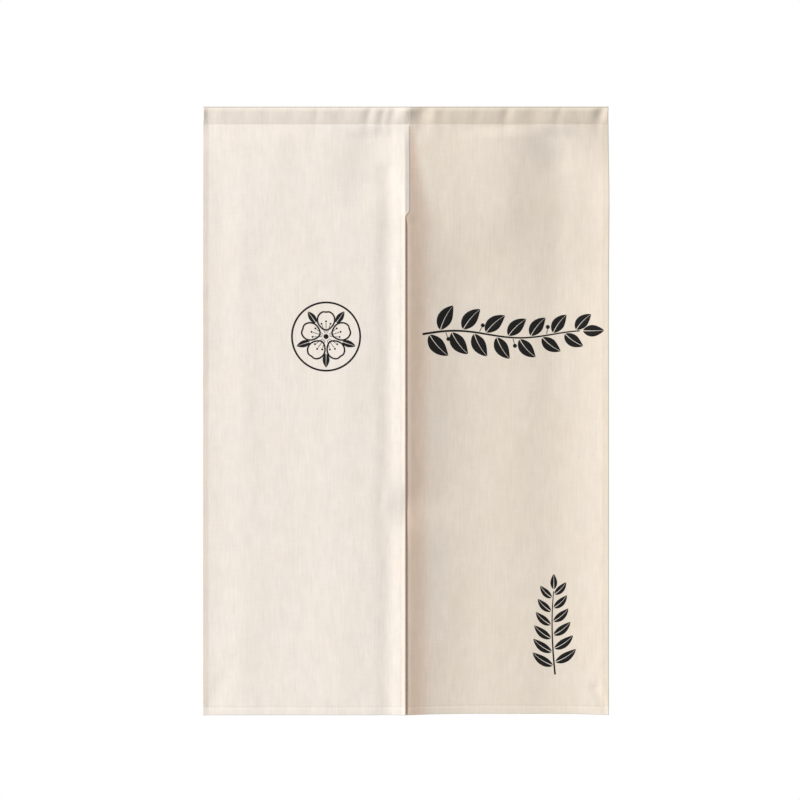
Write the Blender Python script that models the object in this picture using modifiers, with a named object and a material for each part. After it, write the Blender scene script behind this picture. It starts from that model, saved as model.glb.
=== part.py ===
"""A two-panel cotton and linen door curtain: two cloths that hang side by side from a rod pocket
along their top edge, sewn to each other for the first stretch and open below as a slit.

Metres, +Z up. The origin is the middle of the top edge, X runs to the right and the face of the
curtain looks along -Y. A drop is a distance below the top edge, and forward means towards -Y.
"""

import bmesh
import bpy
import numpy as np

# Outline of the finished curtain
HALF_WIDTH = 0.400
HEIGHT = 1.200
POCKET_DROP = 0.035
POCKET_RADIUS = 0.0055
SLIT_HEAD = 0.212

# Cloth, hems and sewn edges
CLOTH = 0.0012
HEM = 0.0026
SIDE_HEM = 0.012
BOTTOM_HEM = 0.016
HEM_STEP = 0.0006
SEWN_HALF = 0.0014
GAP = 0.0003
JOIN_GAP = 0.0006

# The middle, where the left cloth laps over the right one and stands forward as a crest
TUCK = 0.012
LAP = 0.0034
CREST_X = -0.002
SEAM_X = 0.0075
STAND = 0.0050
STAND_REACH = 0.090
TOP_CREST = 0.0012
CREST = 0.0030
CREST_REACH = 0.050
LEFT_FACET = 0.028
ROLL = 0.0015
SLIT_STEP = 0.010

# The crest is pressed flat at one place, low on the slit, and falls back there
DENT_DROP = 0.794
DENT_REACH = 0.033
DENT_WIDTH = 0.064
DENT = 0.0042

# How the right cloth falls back from the slit, further down the cloth, and how far it reaches
BACK = 0.0128
BACK_DROP = 0.295
TOP_REACH = 0.026
REACH = 0.145
MEET_REACH = 0.009
CREASE_START = 0.030

# Outer edges that turn forward
LEFT_CURL = 0.0016
LEFT_CURL_REACH = 0.012
RIGHT_RISE = 0.0155
RISE_FROM = 0.280

# Soft folds of the left cloth, each along a straight line on the cloth
LEFT_FOLDS = (
    # start x, start drop, end x, end drop, half width, forward
    (-0.050, 0.050, -0.066, 0.150, 0.052, -0.0034),
    (-0.038, 0.170, -0.037, 1.300, 0.017, -0.0019),
    (-0.325, 0.080, -0.320, 1.300, 0.030, 0.0009),
    (-0.215, 0.700, -0.230, 1.300, 0.045, -0.0005),
    (-0.120, 0.520, -0.125, 1.150, 0.036, 0.0007),
    (-0.250, 0.060, -0.290, 0.230, 0.038, 0.0010),
    (-0.360, 1.130, -0.397, 1.195, 0.016, -0.0009),
)

# Soft folds of the right cloth
RIGHT_FOLDS = (
    # start x, start drop, end x, end drop, half width, forward
    (0.190, 0.060, 0.172, 0.190, 0.066, 0.0056),
    (0.283, 0.050, 0.296, 0.100, 0.036, -0.0044),
    (0.340, 0.160, 0.330, 0.300, 0.028, 0.0006),
    (0.225, 0.330, 0.215, 1.300, 0.045, 0.0008),
    (0.300, 0.250, 0.290, 1.000, 0.032, -0.0004),
    (0.375, 1.150, 0.397, 1.190, 0.012, -0.0022),
)
FOLD_START = 0.030

# Puckers that the stitching draws into each rod pocket, deepest beside the seam, and a bulge
# over the crest
LEFT_PUCKERS = (
    # x, half width, share of the depth drawn in
    (-0.386, 0.012, 0.20),
    (-0.274, 0.014, 0.12),
    (-0.175, 0.012, 0.22),
    (-0.126, 0.014, 0.16),
    (-0.073, 0.011, 0.26),
    (-0.036, 0.013, 0.24),
    (-0.004, 0.012, -0.16),
    (0.0335, 0.018, 0.28),
)
RIGHT_PUCKERS = (
    # x, half width, share of the depth drawn in
    (-0.004, 0.012, -0.16),
    (0.0335, 0.018, 0.28),
    (0.072, 0.013, 0.16),
    (0.142, 0.012, 0.12),
    (0.194, 0.012, 0.28),
    (0.245, 0.015, 0.20),
    (0.302, 0.012, 0.18),
    (0.385, 0.012, 0.28),
)
RIPPLE = 0.0030
RIPPLE_FADE = 0.022

# Drops of the lines round a rod pocket, from the top edge down to its stitch line
POCKET_DROPS = (0.0, 0.0008, 0.0025, POCKET_RADIUS, 0.0100, 0.0160, 0.0220, 0.0280, POCKET_DROP)
LEFT_MOUTH_CURVE = 0.0036
RIGHT_MOUTH_CURVE = 0.0008
MOUTH_REACH = 0.014

# Where each cloth's side hems end, and its field between them begins
LEFT_FIELD = (-HALF_WIDTH + SIDE_HEM, CREST_X - SIDE_HEM)
RIGHT_FIELD = (-TUCK + SIDE_HEM, HALF_WIDTH - SIDE_HEM)

# Grid lines across each cloth and down it, in evenly spaced cells from one row to the next
LEFT_COLUMNS = (
    # from x, cells
    (-HALF_WIDTH, 1),
    (LEFT_FIELD[0] - HEM_STEP, 1),
    (LEFT_FIELD[0], 1),
    (-0.370, 12),
    (-0.060, 6),
    (LEFT_FIELD[1], 1),
    (LEFT_FIELD[1] + HEM_STEP, 3),
    (CREST_X, 0),
)
RIGHT_COLUMNS = (
    # from x, cells
    (-TUCK, 3),
    (RIGHT_FIELD[0] - HEM_STEP, 1),
    (RIGHT_FIELD[0], 2),
    (SEAM_X, 4),
    (0.042, 2),
    (0.075, 12),
    (0.370, 1),
    (RIGHT_FIELD[1], 1),
    (RIGHT_FIELD[1] + HEM_STEP, 1),
    (HALF_WIDTH, 0),
)
ROLL_CELLS = 3
ROWS = (
    # from drop, cells
    (POCKET_DROP + GAP, 2),
    (0.046, 2),
    (0.066, 5),
    (0.190, 3),
    (0.222, 7),
    (0.728, 6),
    (0.848, 5),
    (1.150, 1),
    (HEIGHT - BOTTOM_HEM - HEM_STEP, 1),
    (HEIGHT - BOTTOM_HEM, 1),
    (HEIGHT, 0),
)
POCKET_CELLS = 36
SHARP_ANGLE = 50.0


def stations(table):
    """Grid lines from a table of (where a stretch starts, cells in that stretch)."""
    lines = []
    for (start, cells), (end, _) in zip(table, table[1:]):
        lines.extend(np.linspace(start, end, cells, endpoint=False))
    return np.array(lines + [table[-1][0]])


def smooth(share):
    """Eases from 0 to 1 with no corner at either end."""
    share = np.clip(share, 0.0, 1.0)
    return share * share * (3.0 - 2.0 * share)


def bell(distance, half_width):
    """1 at its middle, fading to nothing past twice its half width."""
    return np.exp(-((distance / half_width) ** 2))


def sewn_share(drop):
    """0 at the pocket's stitch line, 1 at the head of the slit and below."""
    return np.clip((drop - POCKET_DROP) / (SLIT_HEAD - POCKET_DROP), 0.0, 1.0)


def open_share(drop):
    """0 where the cloths are sewn to each other, 1 where the slit is open."""
    return smooth((drop - SLIT_HEAD + SLIT_STEP / 2) / SLIT_STEP)


def folds(x, drop, table):
    """Sum of soft folds: a bell across each line, rounded off past its ends, none of it at the
    stitch line."""
    total = np.zeros(np.broadcast(x, drop).shape)
    for start_x, start_drop, end_x, end_drop, half_width, forward in table:
        along_x = end_x - start_x
        along_drop = end_drop - start_drop
        share = (x - start_x) * along_x + (drop - start_drop) * along_drop
        share = np.clip(share / (along_x**2 + along_drop**2), 0.0, 1.0)
        away = np.hypot(x - start_x - share * along_x, drop - start_drop - share * along_drop)
        total += forward * bell(away, half_width)
    return total * smooth((drop - POCKET_DROP) / FOLD_START)


def puckers(x, table):
    """Share of the pocket's depth that the stitching draws in at x."""
    total = np.zeros(np.shape(x))
    for centre, half_width, share in table:
        total += share * bell(x - centre, half_width)
    return total


def ripples(x, drop, table):
    """The pocket's puckers running on into the cloth below it, where they fade."""
    return -RIPPLE * puckers(x, table) * bell(drop - POCKET_DROP, RIPPLE_FADE)


def left_edge_x(drop):
    """Inner edge of the left cloth: at the seam while it is sewn, drawn back in the slit."""
    return SEAM_X * (1.0 - open_share(drop))


def left_forward(x, drop):
    """Front of the left cloth: a little forward of the stitch line, out to the crest as the
    square of the share of the way there, and rolled back from there to the seam. Where the crest
    is dented, it falls back instead. The outer edge's curl is full from halfway to the slit."""
    below = drop - POCKET_DROP
    stand = STAND * (1.0 - np.exp(-below / STAND_REACH))
    crest = TOP_CREST + (CREST - TOP_CREST) * (1.0 - np.exp(-below / CREST_REACH))
    facet = crest * np.clip(1.0 + (x - CREST_X) / LEFT_FACET, 0.0, 1.0) ** 2
    hanging = folds(x, drop, LEFT_FOLDS) * smooth((CREST_X - x) / LEFT_FACET)
    curl = LEFT_CURL * smooth(2.0 * sewn_share(drop)) * np.exp(-(x + HALF_WIDTH) / LEFT_CURL_REACH)
    roll = ROLL * (1.0 - open_share(drop)) * smooth((x - CREST_X) / (SEAM_X - CREST_X))
    pressed = bell(drop - DENT_DROP, DENT_REACH)
    beside = smooth(1.0 + (x - CREST_X) / DENT_WIDTH)
    standing = (facet + hanging) * (1.0 - pressed * smooth(2.0 * beside)) - DENT * pressed * beside
    return SEWN_HALF + stand + standing + curl - roll + ripples(x, drop, LEFT_PUCKERS)


def right_open_forward(x, drop):
    """Front of the right cloth where nothing covers it: falling back from the slit, less and
    less as the square of what is left of its reach, and forward again to the outer edge. The
    reach and the depth both grow down the cloth."""
    grown = smooth((drop - POCKET_DROP) / BACK_DROP)
    level = SEWN_HALF - BACK * grown**2
    reach = TOP_REACH + (REACH - TOP_REACH) * grown**1.5
    left_over = 1.0 - np.clip(x / reach, 0.0, 1.0)
    start = left_forward(np.zeros(np.shape(x)), drop) - LAP
    outer = np.clip((x - RISE_FROM) / (HALF_WIDTH - RISE_FROM), 0.0, 1.0)
    rise = RIGHT_RISE * smooth(sewn_share(drop)) * outer**2
    hanging = folds(x, drop, RIGHT_FOLDS) * smooth(x / CREASE_START)
    return level + (start - level) * left_over**2 + rise + hanging + ripples(x, drop, RIGHT_PUCKERS)


def right_forward(x, drop):
    """Front of the right cloth: it follows the left one's back as far as that one's edge, and
    leaves it there without a step."""
    edge = left_edge_x(drop)
    covered = left_forward(np.minimum(x, edge), drop) - LAP
    at_edge = left_forward(edge, drop) - LAP - right_open_forward(edge, drop)
    leaving = at_edge * (1.0 - smooth((x - edge) / MEET_REACH))
    return np.where(x < edge, covered, right_open_forward(x, drop) + leaving)


def pocket_half_depth(drop):
    """Half the depth of a rod pocket: round at the top, then going in to the stitch line,
    slowly at first."""
    rounded = np.sqrt(np.maximum(POCKET_RADIUS**2 - (POCKET_RADIUS - drop) ** 2, 0.0))
    share = np.clip((drop - POCKET_RADIUS) / (POCKET_DROP - POCKET_RADIUS), 0.0, 1.0)
    side = SEWN_HALF + (POCKET_RADIUS - SEWN_HALF) * (1.0 - share) * (1.0 + 0.5 * share)
    return np.where(drop < POCKET_RADIUS, rounded, side)


def hem_share(x, drop, field):
    """1 where the cloth is turned and sewn as a hem, 0 in the field."""
    left = smooth((field[0] - x) / HEM_STEP)
    right = smooth((x - field[1]) / HEM_STEP)
    bottom = smooth((drop - HEIGHT + BOTTOM_HEM + HEM_STEP) / HEM_STEP)
    return np.maximum(np.maximum(left, right), bottom)


def sheet_object(name, points, weights, material):
    """A grid surface through rows x columns of points, its face on the side that has the rows
    running up and the columns to the right."""
    rows, columns, _ = points.shape
    sheet = bmesh.new()
    bmesh.ops.create_grid(sheet, x_segments=columns - 1, y_segments=rows - 1, size=0.5)
    deform = sheet.verts.layers.deform.verify()
    for vertex, place, weight in zip(sheet.verts, points.reshape(-1, 3), weights.reshape(-1)):
        vertex.co = place
        vertex[deform][0] = weight
    bmesh.ops.remove_doubles(sheet, verts=sheet.verts, dist=1e-6)
    mesh = bpy.data.meshes.new(name)
    sheet.to_mesh(mesh)
    sheet.free()
    mesh.shade_smooth()
    mesh.set_sharp_from_angle(angle=np.radians(SHARP_ANGLE))
    mesh.materials.append(material)
    return bpy.data.objects.new(name, mesh)


def thicken(obj, thickness):
    """Gives the surface its thickness behind its face, times each point's weight."""
    group = obj.vertex_groups.new(name="thickness")
    solidify = obj.modifiers.new("thickness", "SOLIDIFY")
    solidify.thickness = thickness
    solidify.vertex_group = group.name
    solidify.offset = -1.0
    solidify.use_even_offset = True


def panel(name, columns, rolled, forward, field, material):
    """One cloth below its rod pocket, thicker behind where it is hemmed. A rolled cloth has the
    last cells, which carry its crest on to its inner edge."""
    drop = stations(ROWS)[::-1, None]
    x = np.tile(stations(columns), (len(drop), 1))
    if rolled:
        reach = np.linspace(0.0, 1.0, ROLL_CELLS + 1)[1:]
        x = np.hstack([x, CREST_X + (left_edge_x(drop) - CREST_X) * reach])
    drop = np.broadcast_to(drop, x.shape)
    points = np.stack([x, -forward(x, drop), -drop], axis=2)
    single = CLOTH / HEM
    weights = single + (1.0 - single) * hem_share(x, drop, field)
    obj = sheet_object(name, points, weights, material)
    thicken(obj, HEM)
    return obj


def rod_pocket(name, start_x, end_x, mouth_curve, forward, pucker_table, material):
    """The top of one cloth, turned to the back and sewn down: a tunnel open at both ends. The
    front follows the cloth below it at the stitch line, and its outer end is drawn in by the
    mouth's curve."""
    down = np.array(POCKET_DROPS)
    half = pocket_half_depth(down)
    drop = np.concatenate([down[::-1], down[1:], down[-1:]])[:, None]
    depth = np.concatenate([half[::-1], -half[1:], half[-1:]])[:, None]
    x = np.broadcast_to(np.linspace(start_x, end_x, POCKET_CELLS + 1), (len(drop), POCKET_CELLS + 1))
    loose = np.sin(np.pi * drop / POCKET_DROP)
    drawn_in = puckers(x, pucker_table) * loose * np.maximum(depth - SEWN_HALF, 0.0)
    carried = (forward(x, np.full(x.shape, POCKET_DROP)) - SEWN_HALF) * (drop / POCKET_DROP) ** 2
    near_mouth = smooth(1.0 - (HALF_WIDTH - np.abs(x)) / MOUTH_REACH)
    inset = np.sign(x) * mouth_curve * near_mouth * loose * (depth > SEWN_HALF)
    y = drawn_in - carried - depth
    z = np.broadcast_to(-drop, x.shape)
    points = np.stack([x - inset, y, z], axis=2)
    obj = sheet_object(name, points, np.ones(x.shape), material)
    thicken(obj, CLOTH)
    return obj


def cotton_linen():
    """Natural cotton and linen canvas, matt."""
    material = bpy.data.materials.new("cotton_linen_canvas")
    material.use_nodes = True
    shader = material.node_tree.nodes["Principled BSDF"]
    shader.inputs["Base Color"].default_value = (0.80, 0.73, 0.63, 1.0)
    shader.inputs["Roughness"].default_value = 0.9
    shader.inputs["Metallic"].default_value = 0.0
    return material


def clear_scene():
    """Removes whatever the file opened with."""
    for obj in list(bpy.data.objects):
        bpy.data.objects.remove(obj)


def main():
    """Builds both cloths and their rod pockets into one collection."""
    clear_scene()
    collection = bpy.data.collections.new("door_curtain")
    bpy.context.scene.collection.children.link(collection)
    canvas = cotton_linen()
    left_end = SEAM_X - JOIN_GAP / 2
    right_start = SEAM_X + JOIN_GAP / 2
    pieces = (
        panel("left_panel", LEFT_COLUMNS, True, left_forward, LEFT_FIELD, canvas),
        panel("right_panel", RIGHT_COLUMNS, False, right_forward, RIGHT_FIELD, canvas),
        rod_pocket(
            "left_rod_pocket", -HALF_WIDTH, left_end, LEFT_MOUTH_CURVE, left_forward,
            LEFT_PUCKERS, canvas,
        ),
        rod_pocket(
            "right_rod_pocket", right_start, HALF_WIDTH, RIGHT_MOUTH_CURVE, right_forward,
            RIGHT_PUCKERS, canvas,
        ),
    )
    for piece in pieces:
        collection.objects.link(piece)


main()
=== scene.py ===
"""Dressed scene of a door curtain: two cotton and linen cloths that hang side by side from a rod
pocket, sewn to each other at the top and open below as a slit.

Metres, +Z up, X to the right as seen from the front, and the face looks along -Y. The origin is
the middle of the top edge. A drop is a distance below the top edge, forward is a distance towards
-Y, and a flat position is a pair (x, drop) on the front of a cloth.
"""

import logging
from abc import ABC, abstractmethod
from dataclasses import dataclass
from enum import Enum

import bpy
import numpy as np
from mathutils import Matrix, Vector


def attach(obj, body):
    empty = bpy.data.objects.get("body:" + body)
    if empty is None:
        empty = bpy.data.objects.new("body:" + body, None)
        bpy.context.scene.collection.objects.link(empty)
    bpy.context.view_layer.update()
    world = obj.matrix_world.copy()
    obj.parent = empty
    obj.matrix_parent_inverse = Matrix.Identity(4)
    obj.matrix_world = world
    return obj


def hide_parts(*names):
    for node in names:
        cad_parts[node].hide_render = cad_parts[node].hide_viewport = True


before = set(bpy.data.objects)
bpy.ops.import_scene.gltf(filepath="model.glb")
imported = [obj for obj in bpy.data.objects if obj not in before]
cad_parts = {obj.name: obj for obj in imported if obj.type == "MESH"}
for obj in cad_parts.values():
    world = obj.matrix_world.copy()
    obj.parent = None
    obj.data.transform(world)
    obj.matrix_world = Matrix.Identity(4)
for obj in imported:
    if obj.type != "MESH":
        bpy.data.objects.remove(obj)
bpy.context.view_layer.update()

LOG = logging.getLogger("door_curtain")
MIX_FACTOR, MIX_A, MIX_B, MIX_COLOUR = 0, 6, 7, 2
LINE_POINTS = 400


class Face(Enum):
    """The side of a cloth that a row of stitches shows on."""

    FRONT = 1
    BACK = -1


# Shape functions


def smooth(share: np.ndarray) -> np.ndarray:
    """Eases from 0 to 1 with no corner at either end: 3 s squared less 2 s cubed."""
    share = np.clip(share, 0.0, 1.0)
    return share * share * (3.0 - 2.0 * share)


def bell(distance: np.ndarray, half_width: float) -> np.ndarray:
    """1 at its middle, fading to nothing past twice its half width."""
    return np.exp(-((distance / half_width) ** 2))


@dataclass(frozen=True)
class CurtainSizes:
    """Sizes of the sewn curtain.

    The pocket is deepest at `pocket_widest` below the top edge, and `sewn_half` is half its depth
    at its stitch line. The flap is its turned edge below that line. The seam that joins the cloths
    ends over the length `opening`, and the right cloth is tucked `tuck` behind the left one. A
    hem's second layer begins over the width `fold_edge`. Side hems are stitched from `hem_start`
    below the flap, or from `head_start` below the slit's head.
    """

    half_width: float = 0.400
    height: float = 1.200
    pocket_drop: float = 0.035
    pocket_half_depth: float = 0.0050
    pocket_widest: float = 0.0100
    sewn_half: float = 0.0014
    flap: float = 0.0035
    slit_head: float = 0.212
    opening: float = 0.014
    seam_x: float = 0.0075
    seam_stitch: float = 0.0022
    seam_start: float = 0.004
    tuck: float = 0.012
    cloth: float = 0.0010
    hem: float = 0.0022
    fold_edge: float = 0.0006
    side_hem: float = 0.012
    bottom_hem: float = 0.018
    side_stitch: float = 0.0098
    bottom_stitch: float = 0.0160
    hem_start: float = 0.004
    head_start: float = 0.008
    stitch_inset: float = 0.0015
    last_stitch: float = 0.002

    def sewn_share(self, drop: np.ndarray) -> np.ndarray:
        """0 at the pocket's stitch line, 1 at the head of the slit and below."""
        return np.clip((drop - self.pocket_drop) / (self.slit_head - self.pocket_drop), 0.0, 1.0)

    def open_share(self, drop: np.ndarray) -> np.ndarray:
        """0 where the cloths are sewn to each other, 1 where the slit is open."""
        return smooth((drop - self.slit_head) / self.opening + 0.5)


SIZES = CurtainSizes()


@dataclass(frozen=True)
class Fold:
    """A soft fold along a straight line on the cloth, forward of it or behind it."""

    start: tuple[float, float]
    end: tuple[float, float]
    half_width: float
    forward: float

    def at(self, x: np.ndarray, drop: np.ndarray) -> np.ndarray:
        """How far forward the fold brings the cloth: a bell across its line, rounded off at
        both ends.

        Args:
            x: positions across the curtain.
            drop: distances below the top edge.

        Returns:
            Distances towards -Y.
        """
        along_x = self.end[0] - self.start[0]
        along_drop = self.end[1] - self.start[1]
        share = (x - self.start[0]) * along_x + (drop - self.start[1]) * along_drop
        share = np.clip(share / (along_x**2 + along_drop**2), 0.0, 1.0)
        away_x = x - self.start[0] - share * along_x
        away_drop = drop - self.start[1] - share * along_drop
        return self.forward * bell(np.hypot(away_x, away_drop), self.half_width)


@dataclass(frozen=True)
class Pucker:
    """A place where the stitching draws the rod pocket in, leaning as it goes up."""

    x: float
    half_width: float
    share: float
    lean: float = 0.0

    def at(self, x: np.ndarray, drop: np.ndarray) -> np.ndarray:
        """Share of the pocket's depth that is drawn in: a bell about a leaning line."""
        middle = self.x + self.lean * (SIZES.pocket_drop / 2 - np.minimum(drop, SIZES.pocket_drop))
        return self.share * bell(x - middle, self.half_width)


@dataclass(frozen=True)
class Unevenness:
    """Faint bulges and hollows that hanging cloth keeps: a sum of plane waves in seeded
    directions, stretched downwards, so that they run mostly up and down."""

    seed: int
    height: float
    longest: float = 0.130
    shortest: float = 0.030
    waves: int = 22
    stretch: float = 2.6

    def at(self, x: np.ndarray, drop: np.ndarray) -> np.ndarray:
        """Sum over the waves of a height times the cosine of the distance along the wave.

        Args:
            x: positions across the curtain.
            drop: distances below the top edge.

        Returns:
            Distances towards -Y.
        """
        rng = np.random.default_rng(self.seed)
        total = np.zeros(np.broadcast(x, drop).shape)
        for share in np.linspace(0.0, 1.0, self.waves):
            length = self.longest * (self.shortest / self.longest) ** share
            angle, phase = rng.uniform(0.0, 2 * np.pi, 2)
            along = x * np.cos(angle) + drop * np.sin(angle) / self.stretch
            total += length / self.longest * np.cos(2 * np.pi * along / length + phase)
        return self.height * total / np.sqrt(self.waves)


@dataclass(frozen=True)
class Pull:
    """How a row of stitches draws the cloth in: shares of the groove along it and of the small
    gathers beside it, and how far the gathers reach."""

    groove: float
    gather: float
    reach: float


# Meshes


@dataclass
class Shell:
    """A closed shell of four-sided faces, with the flat position of every vertex."""

    points: np.ndarray
    faces: np.ndarray
    flat: np.ndarray


def closed_sheet(front: np.ndarray, back: np.ndarray, flat: np.ndarray, ring: bool = False) -> Shell:
    """Joins a front and a back grid of points round their edges.

    Args:
        front: rows x columns x 3 points, rows running up and columns to the right from outside.
        back: the same grid behind it.
        flat: rows x columns x 2 flat positions.
        ring: whether the last column runs on into the first.

    Returns:
        The closed shell, its faces outwards.
    """
    rows, columns, _ = front.shape
    index = np.arange(rows * columns).reshape(rows, columns)
    if ring:
        index = np.hstack([index, index[:, :1]])
    behind = index + rows * columns
    grid = (index[:-1, :-1], index[:-1, 1:], index[1:, 1:], index[1:, :-1])
    faces = [np.stack(grid, -1), np.stack(grid[::-1], -1) + rows * columns]
    faces.append(np.stack([index[0, 1:], index[0, :-1], behind[0, :-1], behind[0, 1:]], -1))
    faces.append(np.stack([index[-1, :-1], index[-1, 1:], behind[-1, 1:], behind[-1, :-1]], -1))
    if not ring:
        faces.append(np.stack([index[1:, -1], index[:-1, -1], behind[:-1, -1], behind[1:, -1]], -1))
        faces.append(np.stack([index[:-1, 0], index[1:, 0], behind[1:, 0], behind[:-1, 0]], -1))
    return Shell(
        np.concatenate([front.reshape(-1, 3), back.reshape(-1, 3)]),
        np.concatenate([part.reshape(-1, 4) for part in faces]),
        np.tile(flat.reshape(-1, 2), (2, 1)),
    )


def joined(shells: list[Shell]) -> Shell:
    """Puts several shells into one, each keeping its own vertices.

    Args:
        shells: the shells.

    Returns:
        The one shell.
    """
    starts = np.cumsum([0] + [len(shell.points) for shell in shells])
    faces = [shell.faces + start for shell, start in zip(shells, starts)]
    points = np.concatenate([shell.points for shell in shells])
    return Shell(points, np.concatenate(faces), np.concatenate([shell.flat for shell in shells]))


def mesh_object(
    name: str,
    shell: Shell,
    material: bpy.types.Material,
    marks: dict[str, np.ndarray] | None = None,
) -> bpy.types.Object:
    """Puts a shell into the scene as an object at the origin.

    Args:
        name: the object's name.
        shell: its mesh.
        material: its material.
        marks: named values, one a vertex, that the material reads.

    Returns:
        The object.
    """
    mesh = bpy.data.meshes.new(name)
    mesh.from_pydata(shell.points, [], shell.faces)
    corner = np.empty(len(mesh.loops), dtype=np.int32)
    mesh.loops.foreach_get("vertex_index", corner)
    layer = mesh.uv_layers.new(name="flat")
    layer.data.foreach_set("uv", shell.flat[corner].astype(np.float32).ravel())
    for mark, values in (marks or {}).items():
        attribute = mesh.attributes.new(mark, "FLOAT", "POINT")
        attribute.data.foreach_set("value", values.astype(np.float32).ravel())
    mesh.shade_smooth()
    mesh.materials.append(material)
    obj = bpy.data.objects.new(name, mesh)
    bpy.context.scene.collection.objects.link(obj)
    return obj


# Finishes


def linear(colour: str) -> tuple[float, float, float, float]:
    """Turns a colour into the linear values that a shader takes: below 0.04045 it is divided by
    12.92, and above that 0.055 is added, then it is divided by 1.055 and raised to 2.4.

    Args:
        colour: the sRGB hex value.

    Returns:
        Red, green, blue and an alpha of 1.
    """
    channels = np.array([int(colour[start : start + 2], 16) / 255 for start in (1, 3, 5)])
    low, high = channels / 12.92, ((channels + 0.055) / 1.055) ** 2.4
    return (*np.where(channels <= 0.04045, low, high).tolist(), 1.0)


def add_node(
    tree: bpy.types.NodeTree,
    kind: str,
    settings: dict[str, object] | None = None,
    inputs: dict[str | int, object] | None = None,
) -> bpy.types.Node:
    """Adds a node with its settings and links.

    Args:
        tree: the node tree.
        kind: the node's type.
        settings: properties of the node.
        inputs: for each input, a value or the output that it is linked to.

    Returns:
        The node.
    """
    node = tree.nodes.new(kind)
    for name, value in (settings or {}).items():
        setattr(node, name, value)
    for key, value in (inputs or {}).items():
        if isinstance(value, bpy.types.NodeSocket):
            tree.links.new(value, node.inputs[key])
        else:
            node.inputs[key].default_value = value
    return node


def new_material(name: str, constants: dict[str, float]) -> tuple[bpy.types.Material, bpy.types.Node]:
    """Starts a material.

    Args:
        name: its name.
        constants: what is the same all over, by the shader's own sockets.

    Returns:
        The material and its shader.
    """
    made = bpy.data.materials.new(name)
    made.use_nodes = True
    shader = made.node_tree.nodes["Principled BSDF"]
    for socket, value in constants.items():
        shader.inputs[socket].default_value = value
    return made, shader


def plain_weave(
    tree: bpy.types.NodeTree, flat: bpy.types.NodeSocket, pitch: float
) -> bpy.types.NodeSocket:
    """The height of a plain weave: the sine across the warp times the sine across the weft, which
    stands every other crossing up.

    Args:
        tree: the node tree.
        flat: the flat position.
        pitch: the spacing of the threads.

    Returns:
        The height, from -1 to 1.
    """
    split = add_node(tree, "ShaderNodeSeparateXYZ", inputs={0: flat})
    waves = []
    for axis in (0, 1):
        turns = {0: split.outputs[axis], 1: np.pi / pitch}
        turn = add_node(tree, "ShaderNodeMath", {"operation": "MULTIPLY"}, turns)
        waves.append(add_node(tree, "ShaderNodeMath", {"operation": "SINE"}, {0: turn.outputs[0]}))
    crossed = {0: waves[0].outputs[0], 1: waves[1].outputs[0]}
    return add_node(tree, "ShaderNodeMath", {"operation": "MULTIPLY"}, crossed).outputs[0]


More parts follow.
